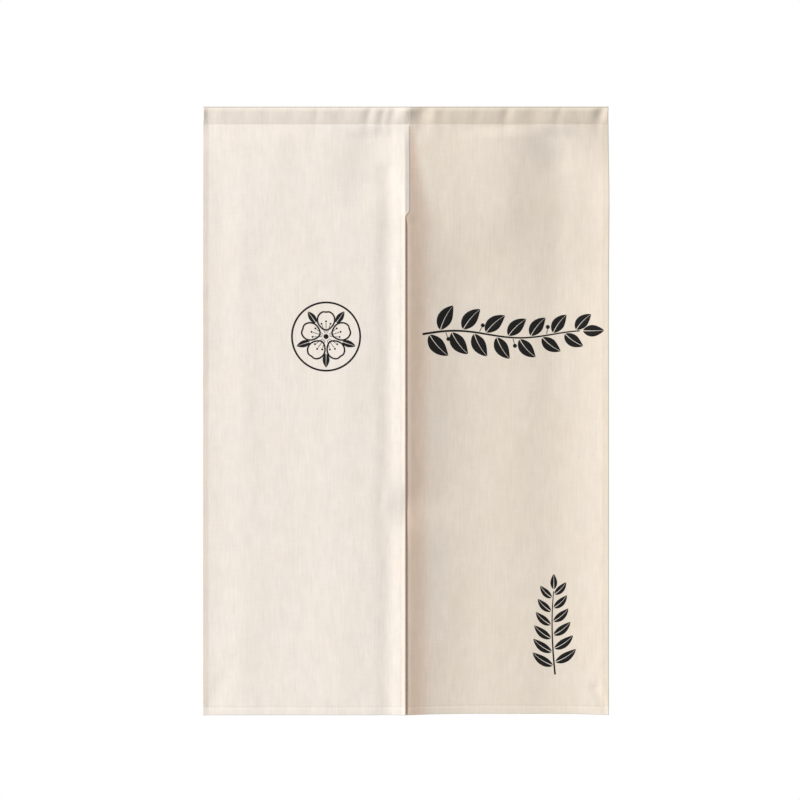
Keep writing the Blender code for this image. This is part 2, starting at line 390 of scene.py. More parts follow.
@dataclass(frozen=True)
class Canvas:
    """Unbleached plain-woven cotton and linen canvas, washed and never glazed. To the eye it is
    matt and a little warm, with thicker slub yarns as faint upright streaks, soft cloudy
    patches where the yarn takes light differently, and a short fuzz that lights up at an angle.
    Beside the slit a painted shade makes the cloth a little browner and darker, and a painted shade
    greys the pocket's top fold.

    A pattern's size is a width across the cloth and a length down it.
    """

    name: str
    pale: str
    warm: str
    # Threads are about 0.5 mm apart and slubs 1 to 2 mm wide: too fine to show, so both are drawn
    # at about twice their size.
    thread_pitch: float = 0.0009
    thread_height: float = 0.00004
    slub: tuple[float, float] = (0.0042, 0.045)
    slub_height: float = 0.00003
    slub_tone: float = 0.135
    slub_detail: float = 3.0
    weft: tuple[float, float] = (0.030, 0.0036)
    weft_tone: float = 0.045
    patch: tuple[float, float] = (0.018, 0.0324)
    patch_tone: float = 0.085
    cloud: tuple[float, float] = (0.085, 0.119)
    cloud_tone: float = 0.060
    cloud_range: tuple[float, float] = (0.3, 0.9)
    hem_tone: float = -0.025
    hem_warmth: float = 0.5
    edge_tone: float = -0.012
    # painted shade on the pocket's top fold, darkening it by this share
    painted_top_shade_tone: float = -0.30
    # painted shade beside the slit: a warm darkening multiplied into the colour
    painted_slit_shade: str = "#FBEEE8"
    roughness: tuple[float, float] = (0.85, 0.95)
    sheen: float = 0.12
    sheen_roughness: float = 0.5
    specular: float = 0.25

    def material(self) -> bpy.types.Material:
        """Builds the material.

        The colour runs from pale to warm with the clouds and the hems. Its brightness is 1 plus a
        share of each pattern about its own middle. The height is that of the weave plus the slubs.

        Returns:
            The material.
        """
        constants = {
            "Metallic": 0.0,
            "Sheen Weight": self.sheen,
            "Sheen Roughness": self.sheen_roughness,
            "Specular IOR Level": self.specular,
        }
        made, shader = new_material(self.name, constants)
        tree = made.node_tree
        flat = add_node(tree, "ShaderNodeUVMap", {"uv_map": "flat"}).outputs[0]
        slub = self._streaks(tree, flat, self.slub, self.slub_detail)
        weft, cloud, patch = (
            self._streaks(tree, flat, size, 2.0) for size in (self.weft, self.cloud, self.patch)
        )
        hem, edge, painted_top_shade, painted_slit_shade = (
            add_node(tree, "ShaderNodeAttribute", {"attribute_name": mark}).outputs["Fac"]
            for mark in ("hem", "edge", "painted_top_shade", "painted_slit_shade")
        )
        tone = 1.0
        for pattern, share, middle in (
            (slub, self.slub_tone, 0.5),
            (weft, self.weft_tone, 0.5),
            (cloud, self.cloud_tone, 0.5),
            (patch, self.patch_tone, 0.5),
            (hem, self.hem_tone, 0.0),
            (edge, self.edge_tone, 0.0),
            # painted shade on the pocket's top fold
            (painted_top_shade, self.painted_top_shade_tone, 0.0),
        ):
            centred = {0: pattern, 1: -middle}
            centred = add_node(tree, "ShaderNodeMath", {"operation": "ADD"}, centred)
            added = {0: centred.outputs[0], 1: share, 2: tone}
            tone = add_node(tree, "ShaderNodeMath", {"operation": "MULTIPLY_ADD"}, added).outputs[0]
        warmth = {0: hem, 1: self.hem_warmth, 2: cloud}
        warmth = add_node(tree, "ShaderNodeMath", {"operation": "MULTIPLY_ADD"}, warmth)
        low, high = self.cloud_range
        clouds = {"Value": warmth.outputs[0], "From Min": low, "From Max": high}
        clouds = add_node(tree, "ShaderNodeMapRange", inputs=clouds)
        mixed = {MIX_FACTOR: clouds.outputs[0], MIX_A: linear(self.pale), MIX_B: linear(self.warm)}
        mixed = add_node(tree, "ShaderNodeMix", {"data_type": "RGBA"}, mixed).outputs[MIX_COLOUR]
        # painted shade beside the slit, multiplied into the colour
        slit_shaded = {MIX_FACTOR: painted_slit_shade, MIX_A: mixed, MIX_B: linear(self.painted_slit_shade)}
        multiply = {"data_type": "RGBA", "blend_type": "MULTIPLY"}
        slit_shaded = add_node(tree, "ShaderNodeMix", multiply, slit_shaded).outputs[MIX_COLOUR]
        colour = {"Vector": slit_shaded, "Scale": tone}
        colour = add_node(tree, "ShaderNodeVectorMath", {"operation": "SCALE"}, colour)
        tree.links.new(colour.outputs[0], shader.inputs["Base Color"])
        smoothest, roughest = self.roughness
        rough = {"Value": slub, "To Min": smoothest, "To Max": roughest}
        rough = add_node(tree, "ShaderNodeMapRange", inputs=rough)
        tree.links.new(rough.outputs[0], shader.inputs["Roughness"])
        weave = plain_weave(tree, flat, self.thread_pitch)
        height = {0: slub, 1: self.slub_height / self.thread_height, 2: weave}
        height = add_node(tree, "ShaderNodeMath", {"operation": "MULTIPLY_ADD"}, height)
        bump = {"Height": height.outputs[0], "Distance": self.thread_height, "Strength": 1.0}
        bump = add_node(tree, "ShaderNodeBump", inputs=bump)
        tree.links.new(bump.outputs[0], shader.inputs["Normal"])
        return made

    @staticmethod
    def _streaks(
        tree: bpy.types.NodeTree,
        flat: bpy.types.NodeSocket,
        size: tuple[float, float],
        detail: float,
    ) -> bpy.types.NodeSocket:
        """Noise drawn out to a real width across the cloth and a real length down it.

        Args:
            tree: the node tree.
            flat: the flat position.
            size: the width and the length of a streak.
            detail: how many finer layers it has.

        Returns:
            The noise, about 0.5.
        """
        scale = (1 / size[0], 1 / size[1], 1.0)
        place = add_node(tree, "ShaderNodeMapping", inputs={"Vector": flat, "Scale": scale})
        noise = add_node(
            tree,
            "ShaderNodeTexNoise",
            {"noise_dimensions": "2D"},
            {"Vector": place.outputs[0], "Scale": 1.0, "Detail": detail, "Roughness": 0.55},
        )
        return noise.outputs[0]


@dataclass(frozen=True)
class SewingThread:
    """Spun cotton sewing thread, two plies twisted: an ivory a little lighter than the canvas,
    matt, with the twist as slanting ridges."""

    colour: str
    painted_groove_shade: str
    twist_pitch: float = 0.0006
    ply_height: float = 0.00006
    roughness: float = 0.80
    sheen: float = 0.1

    def material(self) -> bpy.types.Material:
        """Builds the material: a sine along the thread and round it raises the plies and paints shade
        into the grooves between them.

        Returns:
            The material.
        """
        constants = {"Roughness": self.roughness, "Sheen Weight": self.sheen}
        made, shader = new_material("spun_cotton_thread", constants)
        tree = made.node_tree
        flat = add_node(tree, "ShaderNodeUVMap", {"uv_map": "flat"}).outputs[0]
        split = add_node(tree, "ShaderNodeSeparateXYZ", inputs={0: flat}).outputs
        along = {0: split[0], 1: 2 * np.pi / self.twist_pitch, 2: split[1]}
        along = add_node(tree, "ShaderNodeMath", {"operation": "MULTIPLY_ADD"}, along)
        ply = add_node(tree, "ShaderNodeMath", {"operation": "SINE"}, {0: along.outputs[0]})
        share = {"Value": ply.outputs[0], "From Min": -1.0}
        share = add_node(tree, "ShaderNodeMapRange", inputs=share).outputs[0]
        # painted shade in the grooves between the plies
        mixed = {MIX_FACTOR: share, MIX_A: linear(self.painted_groove_shade), MIX_B: linear(self.colour)}
        mixed = add_node(tree, "ShaderNodeMix", {"data_type": "RGBA"}, mixed)
        tree.links.new(mixed.outputs[MIX_COLOUR], shader.inputs["Base Color"])
        bump = {"Height": share, "Distance": self.ply_height, "Strength": 1.0}
        bump = add_node(tree, "ShaderNodeBump", inputs=bump)
        tree.links.new(bump.outputs[0], shader.inputs["Normal"])
        return made


@dataclass(frozen=True)
class PigmentInk:
    """Water-based pigment ink, screen printed: a flat near-black that soaks into the canvas, so
    the weave stands through it and the ink is a touch thinner on the crowns of the threads."""

    colour: str
    thin: str
    thread_pitch: float = 0.0009
    thread_height: float = 0.00003
    thin_size: float = 0.0035
    thin_from: float = 0.45
    roughness: float = 0.72
    specular: float = 0.3

    def material(self) -> bpy.types.Material:
        """Builds the material: the weave raises it, and noise a few threads wide thins it.

        Returns:
            The material.
        """
        constants = {"Roughness": self.roughness, "Specular IOR Level": self.specular}
        made, shader = new_material("screen_printed_pigment_ink", constants)
        tree = made.node_tree
        flat = add_node(tree, "ShaderNodeUVMap", {"uv_map": "flat"}).outputs[0]
        noise = {"Vector": flat, "Scale": 1 / self.thin_size, "Detail": 2.0}
        noise = add_node(tree, "ShaderNodeTexNoise", {"noise_dimensions": "2D"}, noise)
        share = {"Value": noise.outputs[0], "From Min": self.thin_from}
        share = add_node(tree, "ShaderNodeMapRange", inputs=share).outputs[0]
        mixed = {MIX_FACTOR: share, MIX_A: linear(self.colour), MIX_B: linear(self.thin)}
        mixed = add_node(tree, "ShaderNodeMix", {"data_type": "RGBA"}, mixed)
        tree.links.new(mixed.outputs[MIX_COLOUR], shader.inputs["Base Color"])
        weave = plain_weave(tree, flat, self.thread_pitch)
        bump = {"Height": weave, "Distance": self.thread_height, "Strength": 1.0}
        bump = add_node(tree, "ShaderNodeBump", inputs=bump)
        tree.links.new(bump.outputs[0], shader.inputs["Normal"])
        return made


# The two cloths


def hem_lines(stitch: float, width: float) -> np.ndarray:
    """Distances from a hemmed edge of the grid lines across its hem: close together where the
    edge is round and at the stitch line.

    Args:
        stitch: the stitch line's distance from the edge.
        width: the hem's width.

    Returns:
        The distances, from 0 up.
    """
    edge = np.array([0.0, 0.00008, 0.00025, 0.00055, 0.0011, 0.0022])
    across = np.linspace(edge[-1], stitch - 0.0018, 4)[1:]
    groove = stitch + np.array([-0.0011, -0.0005, 0.0, 0.0005, 0.0011])
    step = width + np.array([0.0, 0.0003, 0.0006, 0.002])
    return np.concatenate([edge, across, groove, step])


@dataclass(frozen=True)
class ClothSheet(ABC):
    """One cloth of the curtain in one piece: from its bottom hem up the front, round the rod
    pocket, and down the back as far as the turned edge below the stitch line.

    Its grid has `field_rows` cells up the field, below the slit's head, at it and above it, and
    then the given distances below and above the pocket's stitch line. The pocket's fullness is a
    share of its depth: at the curtain's middle, `full_from` further out, and at the outer edge.
    """

    name: str
    replaced: tuple[str, str]
    folds: tuple[Fold, ...]
    puckers: tuple[Pucker, ...]
    uneven: Unevenness
    flat_size: tuple[float, float]
    field_columns: int = 96
    field_rows: tuple[int, int, int] = (160, 20, 48)
    close_rows: float = 0.012
    rows_below: tuple[float, ...] = (0.009, 0.0065, 0.0045, 0.003, 0.002, 0.0012, 0.0006, 0.0)
    rows_above: tuple[float, ...] = (
        0.0006, 0.0012, 0.002, 0.0035, 0.0055, 0.008, 0.011, 0.0145, 0.0185, 0.0225,
    )
    top_rows: int = 33
    flap_rows: int = 7
    ripple: float = 0.0018
    ripple_fade: float = 0.022
    fold_start: float = 0.030
    groove: float = 0.00032
    groove_half_width: float = 0.0012
    gather: float = 0.00022
    gather_waves: tuple[float, float] = (0.0131, 0.0187)
    pocket_pull: Pull = Pull(0.4, 0.5, 0.006)
    bottom_pull: Pull = Pull(1.0, 0.7, 0.005)
    side_depths: tuple[float, float] = (0.45, 0.45)
    side_reach: float = 0.004
    pressed_reach: float = 0.007
    middle_fullness: float = 1.25
    full_from: float = 0.05
    outer_fullness: float = 1.0
    below_widest: float = 0.25
    flattest: float = 0.0002
    back_drawn: float = 0.30
    mouth_curve: float = 0.0036
    mouth_reach: float = 0.014
    thinnest_rim: float = 0.25
    bottom_paler: float = 0.15
    inner_warmer: float = 0.6
    warm_fade: float = 0.002
    edge_fade: float = 0.0025
    # painted shade on the pocket's top fold: down to this drop, fading out over the next
    painted_top_shade_drop: float = 0.0022
    painted_top_shade_fade: float = 0.0012

    @abstractmethod
    def edges(self, drop: np.ndarray) -> tuple[np.ndarray, np.ndarray]:
        """The x of the cloth's left and right edges at each drop."""

    @abstractmethod
    def hang(self, x: np.ndarray, drop: np.ndarray) -> np.ndarray:
        """How far forward the cloth hangs, before its stitching draws it in."""

    @abstractmethod
    def side_hems(self, drop: np.ndarray) -> tuple[np.ndarray | float, np.ndarray | float]:
        """Shares of the left and right side hems: the inner one is pressed flat in the seam."""

    @abstractmethod
    def side_starts(self) -> tuple[float, float]:
        """The drops at which the left and right side hems' stitching begins."""

    def painted_slit_shade(self, x: np.ndarray, drop: np.ndarray) -> np.ndarray:
        """Where shade is painted beside the slit, from 0 to 1: nowhere, unless a cloth says so."""
        return np.zeros(np.broadcast(x, drop).shape)

    def creases(self, x: np.ndarray, drop: np.ndarray) -> np.ndarray:
        """Sum of the folds, the unevenness and what runs on down from the pocket's puckers.
        All but the last fade out towards the stitch line.

        Args:
            x: positions across the curtain.
            drop: distances below the top edge.

        Returns:
            Distances towards -Y.
        """
        total = self.uneven.at(x, drop)
        for fold in self.folds:
            total = total + fold.at(x, drop)
        total = total * smooth((drop - SIZES.pocket_drop) / self.fold_start)
        runs_on = bell(drop - SIZES.pocket_drop, self.ripple_fade)
        return total - self.ripple * self.drawn_share(x, drop) * runs_on

    def drawn_share(self, x: np.ndarray, drop: np.ndarray) -> np.ndarray:
        """Share of the pocket's depth that all the puckers together draw in."""
        return sum(pucker.at(x, drop) for pucker in self.puckers)

    def seam_relief(self, x: np.ndarray, drop: np.ndarray) -> np.ndarray:
        """How far the stitching sinks into the cloth: a groove along the pocket's, the side
        hems' and the bottom hem's stitch lines, with gathers beside each that come and go as
        the sum of two sines along it.

        Args:
            x: positions across the curtain.
            drop: distances below the top edge.

        Returns:
            Distances into the cloth.
        """
        left, right = self.edges(drop)
        left_pull, right_pull = (
            Pull(depth * share, depth * share, self.side_reach)
            for depth, share in zip(self.side_depths, self.side_hems(drop))
        )
        long, short = self.gather_waves[1], self.gather_waves[0]
        total = np.zeros(np.broadcast(x, drop).shape)
        for away, along, pull in (
            (drop - SIZES.pocket_drop, x, self.pocket_pull),
            (SIZES.height - drop - SIZES.bottom_stitch, x, self.bottom_pull),
            (x - left - SIZES.side_stitch, drop, left_pull),
            (right - x - SIZES.side_stitch, drop, right_pull),
        ):
            turn = along * 2 * np.pi
            gathers = pull.gather * (0.5 + 0.3 * np.sin(turn / short) + 0.2 * np.sin(turn / long))
            total = total + pull.groove * self.groove * bell(away, self.groove_half_width)
            total = total + self.gather * gathers * bell(away, pull.reach)
        return total

    def front_forward(self, x: np.ndarray, drop: np.ndarray) -> np.ndarray:
        """How far forward the finished front of the hanging cloth is."""
        return self.hang(x, drop) - self.seam_relief(x, drop)

    @staticmethod
    def folded(inside: np.ndarray, width: float) -> np.ndarray:
        """1 up to a hem's width inside an edge, and 0 past it."""
        return 1.0 - smooth((inside - width) / SIZES.fold_edge)

    def hem_share(self, x: np.ndarray, drop: np.ndarray) -> np.ndarray:
        """Where the cloth is folded over as a hem.

        Args:
            x: positions across the curtain.
            drop: distances below the top edge.

        Returns:
            1 on a hem and 0 in the field.
        """
        left, right = self.edges(drop)
        first, last = self.side_hems(drop)
        left_hem = first * self.folded(x - left, SIZES.side_hem)
        right_hem = last * self.folded(right - x, SIZES.side_hem)
        bottom = self.folded(SIZES.height - drop, SIZES.bottom_hem)
        return np.maximum(np.maximum(left_hem, right_hem), bottom)

    def warm_share(self, x: np.ndarray, drop: np.ndarray) -> np.ndarray:
        """Share by which the cloth looks warmer than its field: all of it on the outer hem and the
        rod pocket, where light meets doubled cloth, part of it on the inner hem, and less than
        none on the pale bottom hem.

        Args:
            x: positions across the curtain.
            drop: distances below the top edge.

        Returns:
            Shares, below 0 where the cloth is paler.
        """
        outer = self.folded(SIZES.half_width - np.abs(x), SIZES.side_hem)
        pocket = smooth((SIZES.pocket_drop - drop) / self.warm_fade)
        bottom = self.folded(SIZES.height - drop, SIZES.bottom_hem)
        inner = self.inner_warmer * self.hem_share(x, drop)
        warmer = np.maximum(np.maximum(outer, pocket), inner)
        return warmer * (1.0 - bottom) - self.bottom_paler * bottom

    def thickness(self, x: np.ndarray, drop: np.ndarray) -> np.ndarray:
        """Single cloth, or a hem's folded cloth, pressed thin along the pocket's stitch line."""
        pressed = 1.0 - bell(drop - SIZES.pocket_drop, self.pressed_reach)
        return SIZES.cloth + (SIZES.hem - SIZES.cloth) * self.hem_share(x, drop) * pressed

    def path(self) -> tuple[np.ndarray, np.ndarray, np.ndarray]:
        """The cloth's way from its bottom edge up, over the pocket and down behind.

        The pocket's half depth is that of an upright ellipse at the top. Below the widest place
        it goes down to the stitch line, slowly at first: 1 less the share of the way, times 1
        plus a quarter of it.

        Returns:
            Drops, half depths from the pocket's middle plane with the front's positive, and the
            lengths along the cloth, each rows x 1.
        """
        hem = SIZES.height - hem_lines(SIZES.bottom_stitch, SIZES.bottom_hem)
        head, close = SIZES.slit_head, self.close_rows
        turns = (hem[-1], head + close, head - close, SIZES.pocket_drop + close)
        field = [
            np.linspace(start, end, cells + 1)[1:]
            for start, end, cells in zip(turns[:-1], turns[1:], self.field_rows)
        ]
        front = np.concatenate([hem, *field, SIZES.pocket_drop + np.array(self.rows_below)])
        widest, half = SIZES.pocket_widest, SIZES.pocket_half_depth
        eased = SIZES.pocket_drop - np.array(self.rows_above)
        share = (eased - widest) / (SIZES.pocket_drop - widest)
        inward = (half - SIZES.sewn_half) * (1.0 - share) * (1.0 + self.below_widest * share)
        inward = SIZES.sewn_half + inward
        turn = np.linspace(0.0, np.pi, self.top_rows)
        flap = SIZES.pocket_drop + np.linspace(0.0, 1.0, self.flap_rows) ** 0.7 * SIZES.flap
        drop = np.concatenate([front, eased, widest - widest * np.sin(turn), eased[::-1], flap])
        depth = np.concatenate([
            np.full(len(front), SIZES.sewn_half),
            inward,
            half * np.cos(turn),
            -inward[::-1],
            np.full(len(flap), -SIZES.sewn_half),
        ])
        along = np.concatenate([[0.0], np.cumsum(np.hypot(np.diff(drop), np.diff(depth)))])
        return drop[:, None], depth[:, None], along[:, None]

    def columns(self, drop: np.ndarray) -> np.ndarray:
        """Close grid lines across both side hems, and even ones between.

        Args:
            drop: the drop of every row.

        Returns:
            The x of every grid point.
        """
        left, right = self.edges(drop)
        hem = hem_lines(SIZES.side_stitch, SIZES.side_hem)
        share = np.linspace(0.0, 1.0, self.field_columns + 1)[1:-1]
        start, end = left + hem[-1], right - hem[-1]
        return np.hstack([left + hem, start + (end - start) * share, right - hem[::-1]])

    def outer_surface(self, x: np.ndarray, drop: np.ndarray, depth: np.ndarray) -> np.ndarray:
        """The outer surface all the way round.

        Its y is the pocket's half depth forward of what the pocket is carried forward by: the
        hang of the cloth at and below the stitch line, and less and less of it further up. The
        puckers draw the pocket in as the root of the sine of the way up it, and its outer mouth
        is cut back in front by as much of a curve.

        Args:
            x: the x of every grid point.
            drop: the drop of every row.
            depth: the half depth of every row.

        Returns:
            Rows x columns x 3 points.
        """
        fullness = (self.middle_fullness, 1.0, self.outer_fullness)
        full = np.interp(np.abs(x), (0.0, self.full_from, SIZES.half_width), fullness)
        beyond = np.maximum(np.abs(depth) - SIZES.sewn_half, 0.0)
        depth = depth - np.sign(depth) * beyond * (1.0 - full)
        below = np.maximum(drop, SIZES.pocket_drop)
        risen = np.minimum(drop / SIZES.pocket_drop, 1.0)
        carried = (self.hang(x, below) - SIZES.sewn_half) * risen**2
        loose = np.sin(np.pi * risen) ** 0.5
        bulge = np.maximum(np.abs(depth) - self.flattest, 0.0)
        drawn = self.drawn_share(x, drop) * loose * bulge * np.where(depth > 0, 1.0, self.back_drawn)
        sunk = self.seam_relief(x, drop) + drawn
        side = np.clip(depth / SIZES.sewn_half, -1.0, 1.0)
        near_mouth = smooth(1.0 - (SIZES.half_width - np.abs(x)) / self.mouth_reach)
        in_front = smooth(depth / SIZES.sewn_half) * (risen < 1.0)
        inset = np.sign(x) * self.mouth_curve * near_mouth * loose * in_front
        y = sunk * side - carried - depth
        return np.stack([x - inset, y, np.broadcast_to(-drop, x.shape)], axis=2)

    def build(self, material: bpy.types.Material) -> bpy.types.Object:
        """Makes the cloth: each point of the surface is moved in along the surface's own normal
        by half the thickness times what is missing from the rounding of the edge, and the inner
        face lies the thickness times the rounding behind it. The rounding is that of a circle:
        the root of 1 less the square of 1 less the distance from the edge in half thicknesses.

        Args:
            material: the canvas.

        Returns:
            The cloth.
        """
        drop, depth, along = self.path()
        x = self.columns(drop)
        surface = self.outer_surface(x, drop, depth)
        across, up = np.gradient(surface, axis=1), np.gradient(surface, axis=0)
        inward = np.cross(up, across)
        inward /= np.linalg.norm(inward, axis=2, keepdims=True)
        left, right = self.edges(drop)
        edge = np.minimum(np.minimum(x - left, right - x), np.minimum(along, along[-1] - along))
        thickness = self.thickness(x, drop)
        near = 1.0 - np.clip(2.0 * edge / thickness, 0.0, 1.0)
        rounding = np.maximum(np.sqrt(1.0 - near**2), self.thinnest_rim)
        outer = (thickness / 2 * (1.0 - rounding))[:, :, None]
        inner = outer + (thickness * rounding)[:, :, None]
        flat = np.stack([x, np.broadcast_to(along, x.shape)], axis=2)
        shell = closed_sheet(surface + inward * outer, surface + inward * inner, flat)
        # painted shade on the pocket's top fold
        painted_top_shade = 1.0 - smooth((drop - self.painted_top_shade_drop) / self.painted_top_shade_fade)
        marks = {
            "hem": self.warm_share(x, drop),
            "edge": np.exp(-edge / self.edge_fade),
            # painted shade beside the slit on the right cloth
            "painted_slit_shade": self.painted_slit_shade(x, drop),
            "painted_top_shade": np.broadcast_to(painted_top_shade, x.shape),
        }
        marks = {mark: np.tile(values.ravel(), 2) for mark, values in marks.items()}
        obj = mesh_object(self.name, shell, material, marks)
        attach(obj, "root")
        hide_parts(*self.replaced)
        return obj

    def stitched_lines(self) -> list[tuple[np.ndarray, np.ndarray, Face]]:
        """Flat lines of stitching, with the face that each shows on.

        Returns:
            For each line its x, its drop and its face.
        """
        share = np.linspace(0.0, 1.0, LINE_POINTS)
        lines = []
        seam = np.full(LINE_POINTS, SIZES.pocket_drop)
        bottom = np.full(LINE_POINTS, SIZES.height - SIZES.bottom_stitch)
        last = SIZES.height - SIZES.last_stitch
        for face in Face:
            for drop in (seam, bottom):
                left, right = self.edges(drop)
                start, end = left + SIZES.stitch_inset, right - SIZES.stitch_inset
                lines.append((start + (end - start) * share, drop, face))
            for side, first in enumerate(self.side_starts()):
                drop = first + (last - first) * share
                edge = self.edges(drop)[side]
                lines.append((edge + SIZES.side_stitch * (1 - 2 * side), drop, face))
        return lines


@dataclass(frozen=True)
class LeftCloth(ClothSheet):
    """The left cloth. It laps over the right one, and stands forward along a crest beside the
    slit, which is pressed flat by a dent at one place."""

    crest_x: float = -0.002
    side_depths: tuple[float, float] = (0.25, 0.0)
    stand: float = 0.0050
    stand_reach: float = 0.090
    top_crest: float = 0.0008
    crest: float = 0.0030
    crest_reach: float = 0.100
    facet: float = 0.028
    roll: float = 0.0015
    roll_fade: float = 0.050
    lip: float = 0.0007
    lip_reach: float = 0.009
    dent_drop: float = 0.788
    dent_reach: float = 0.043
    dent_width: float = 0.064
    dent: float = 0.0026
    curl: float = 0.0016
    curl_reach: float = 0.012

    def edges(self, drop: np.ndarray) -> tuple[np.ndarray, np.ndarray]:
        """Out to the outer edge, and in to the seam, or to the middle in the slit."""
        left = np.full(np.shape(drop), -SIZES.half_width)
        return left, SIZES.seam_x * (1.0 - SIZES.open_share(drop))

    def side_hems(self, drop: np.ndarray) -> tuple[np.ndarray | float, np.ndarray | float]:
        """The inner hem is the right one."""
        return 1.0, SIZES.open_share(drop)

    def side_starts(self) -> tuple[float, float]:
        """The outer hem is stitched from below the pocket, the inner one from the slit's head."""
        return SIZES.pocket_drop + SIZES.flap + SIZES.hem_start, SIZES.slit_head + SIZES.head_start

    def crest_rise(self, drop: np.ndarray) -> np.ndarray:
        """How far the crest stands out: 1 less a falling exponential of the way down."""
        grown = 1.0 - np.exp(-(drop - SIZES.pocket_drop) / self.crest_reach)
        return self.top_crest + (self.crest - self.top_crest) * grown

    def near_crest(self, x: np.ndarray, reach: float) -> np.ndarray:
        """0 a reach to the left of the crest, and 1 at the crest and past it."""
        return np.clip(1.0 + (x - self.crest_x) / reach, 0.0, 1.0)

    def hang(self, x: np.ndarray, drop: np.ndarray) -> np.ndarray:
        """Hanging a little forward of the pocket's stitch line, then out to the crest as the
        square of the share of the way there, with the turned edge as a narrow lip, and rolled
        back from there to the seam where the cloths are sewn together. At the dent the crest
        falls back instead.

        Args:
            x: positions across the curtain.
            drop: distances below the top edge.

        Returns:
            Distances towards -Y.
        """
        below, sewn = drop - SIZES.pocket_drop, SIZES.sewn_share(drop)
        stand = self.stand * (1.0 - np.exp(-below / self.stand_reach))
        facet = self.crest_rise(drop) * self.near_crest(x, self.facet) ** 2
        lip = self.lip * smooth(2.0 * sewn - 1.0) * self.near_crest(x, self.lip_reach) ** 2
        curl = self.curl * smooth(2.0 * sewn) * np.exp(-(x + SIZES.half_width) / self.curl_reach)
        rolled = smooth((x - self.crest_x) / (SIZES.seam_x - self.crest_x))
        rolled = rolled * smooth(below / self.roll_fade)
        roll = self.roll * (1.0 - SIZES.open_share(drop)) * rolled
        creases = self.creases(x, drop) * smooth((self.crest_x - x) / self.facet)
        pressed = bell(drop - self.dent_drop, self.dent_reach)
        beside = smooth(self.near_crest(x, self.dent_width))
        standing = (facet + lip + creases) * (1.0 - pressed * smooth(2.0 * beside))
        return SIZES.sewn_half + stand + standing + curl - roll - self.dent * pressed * beside


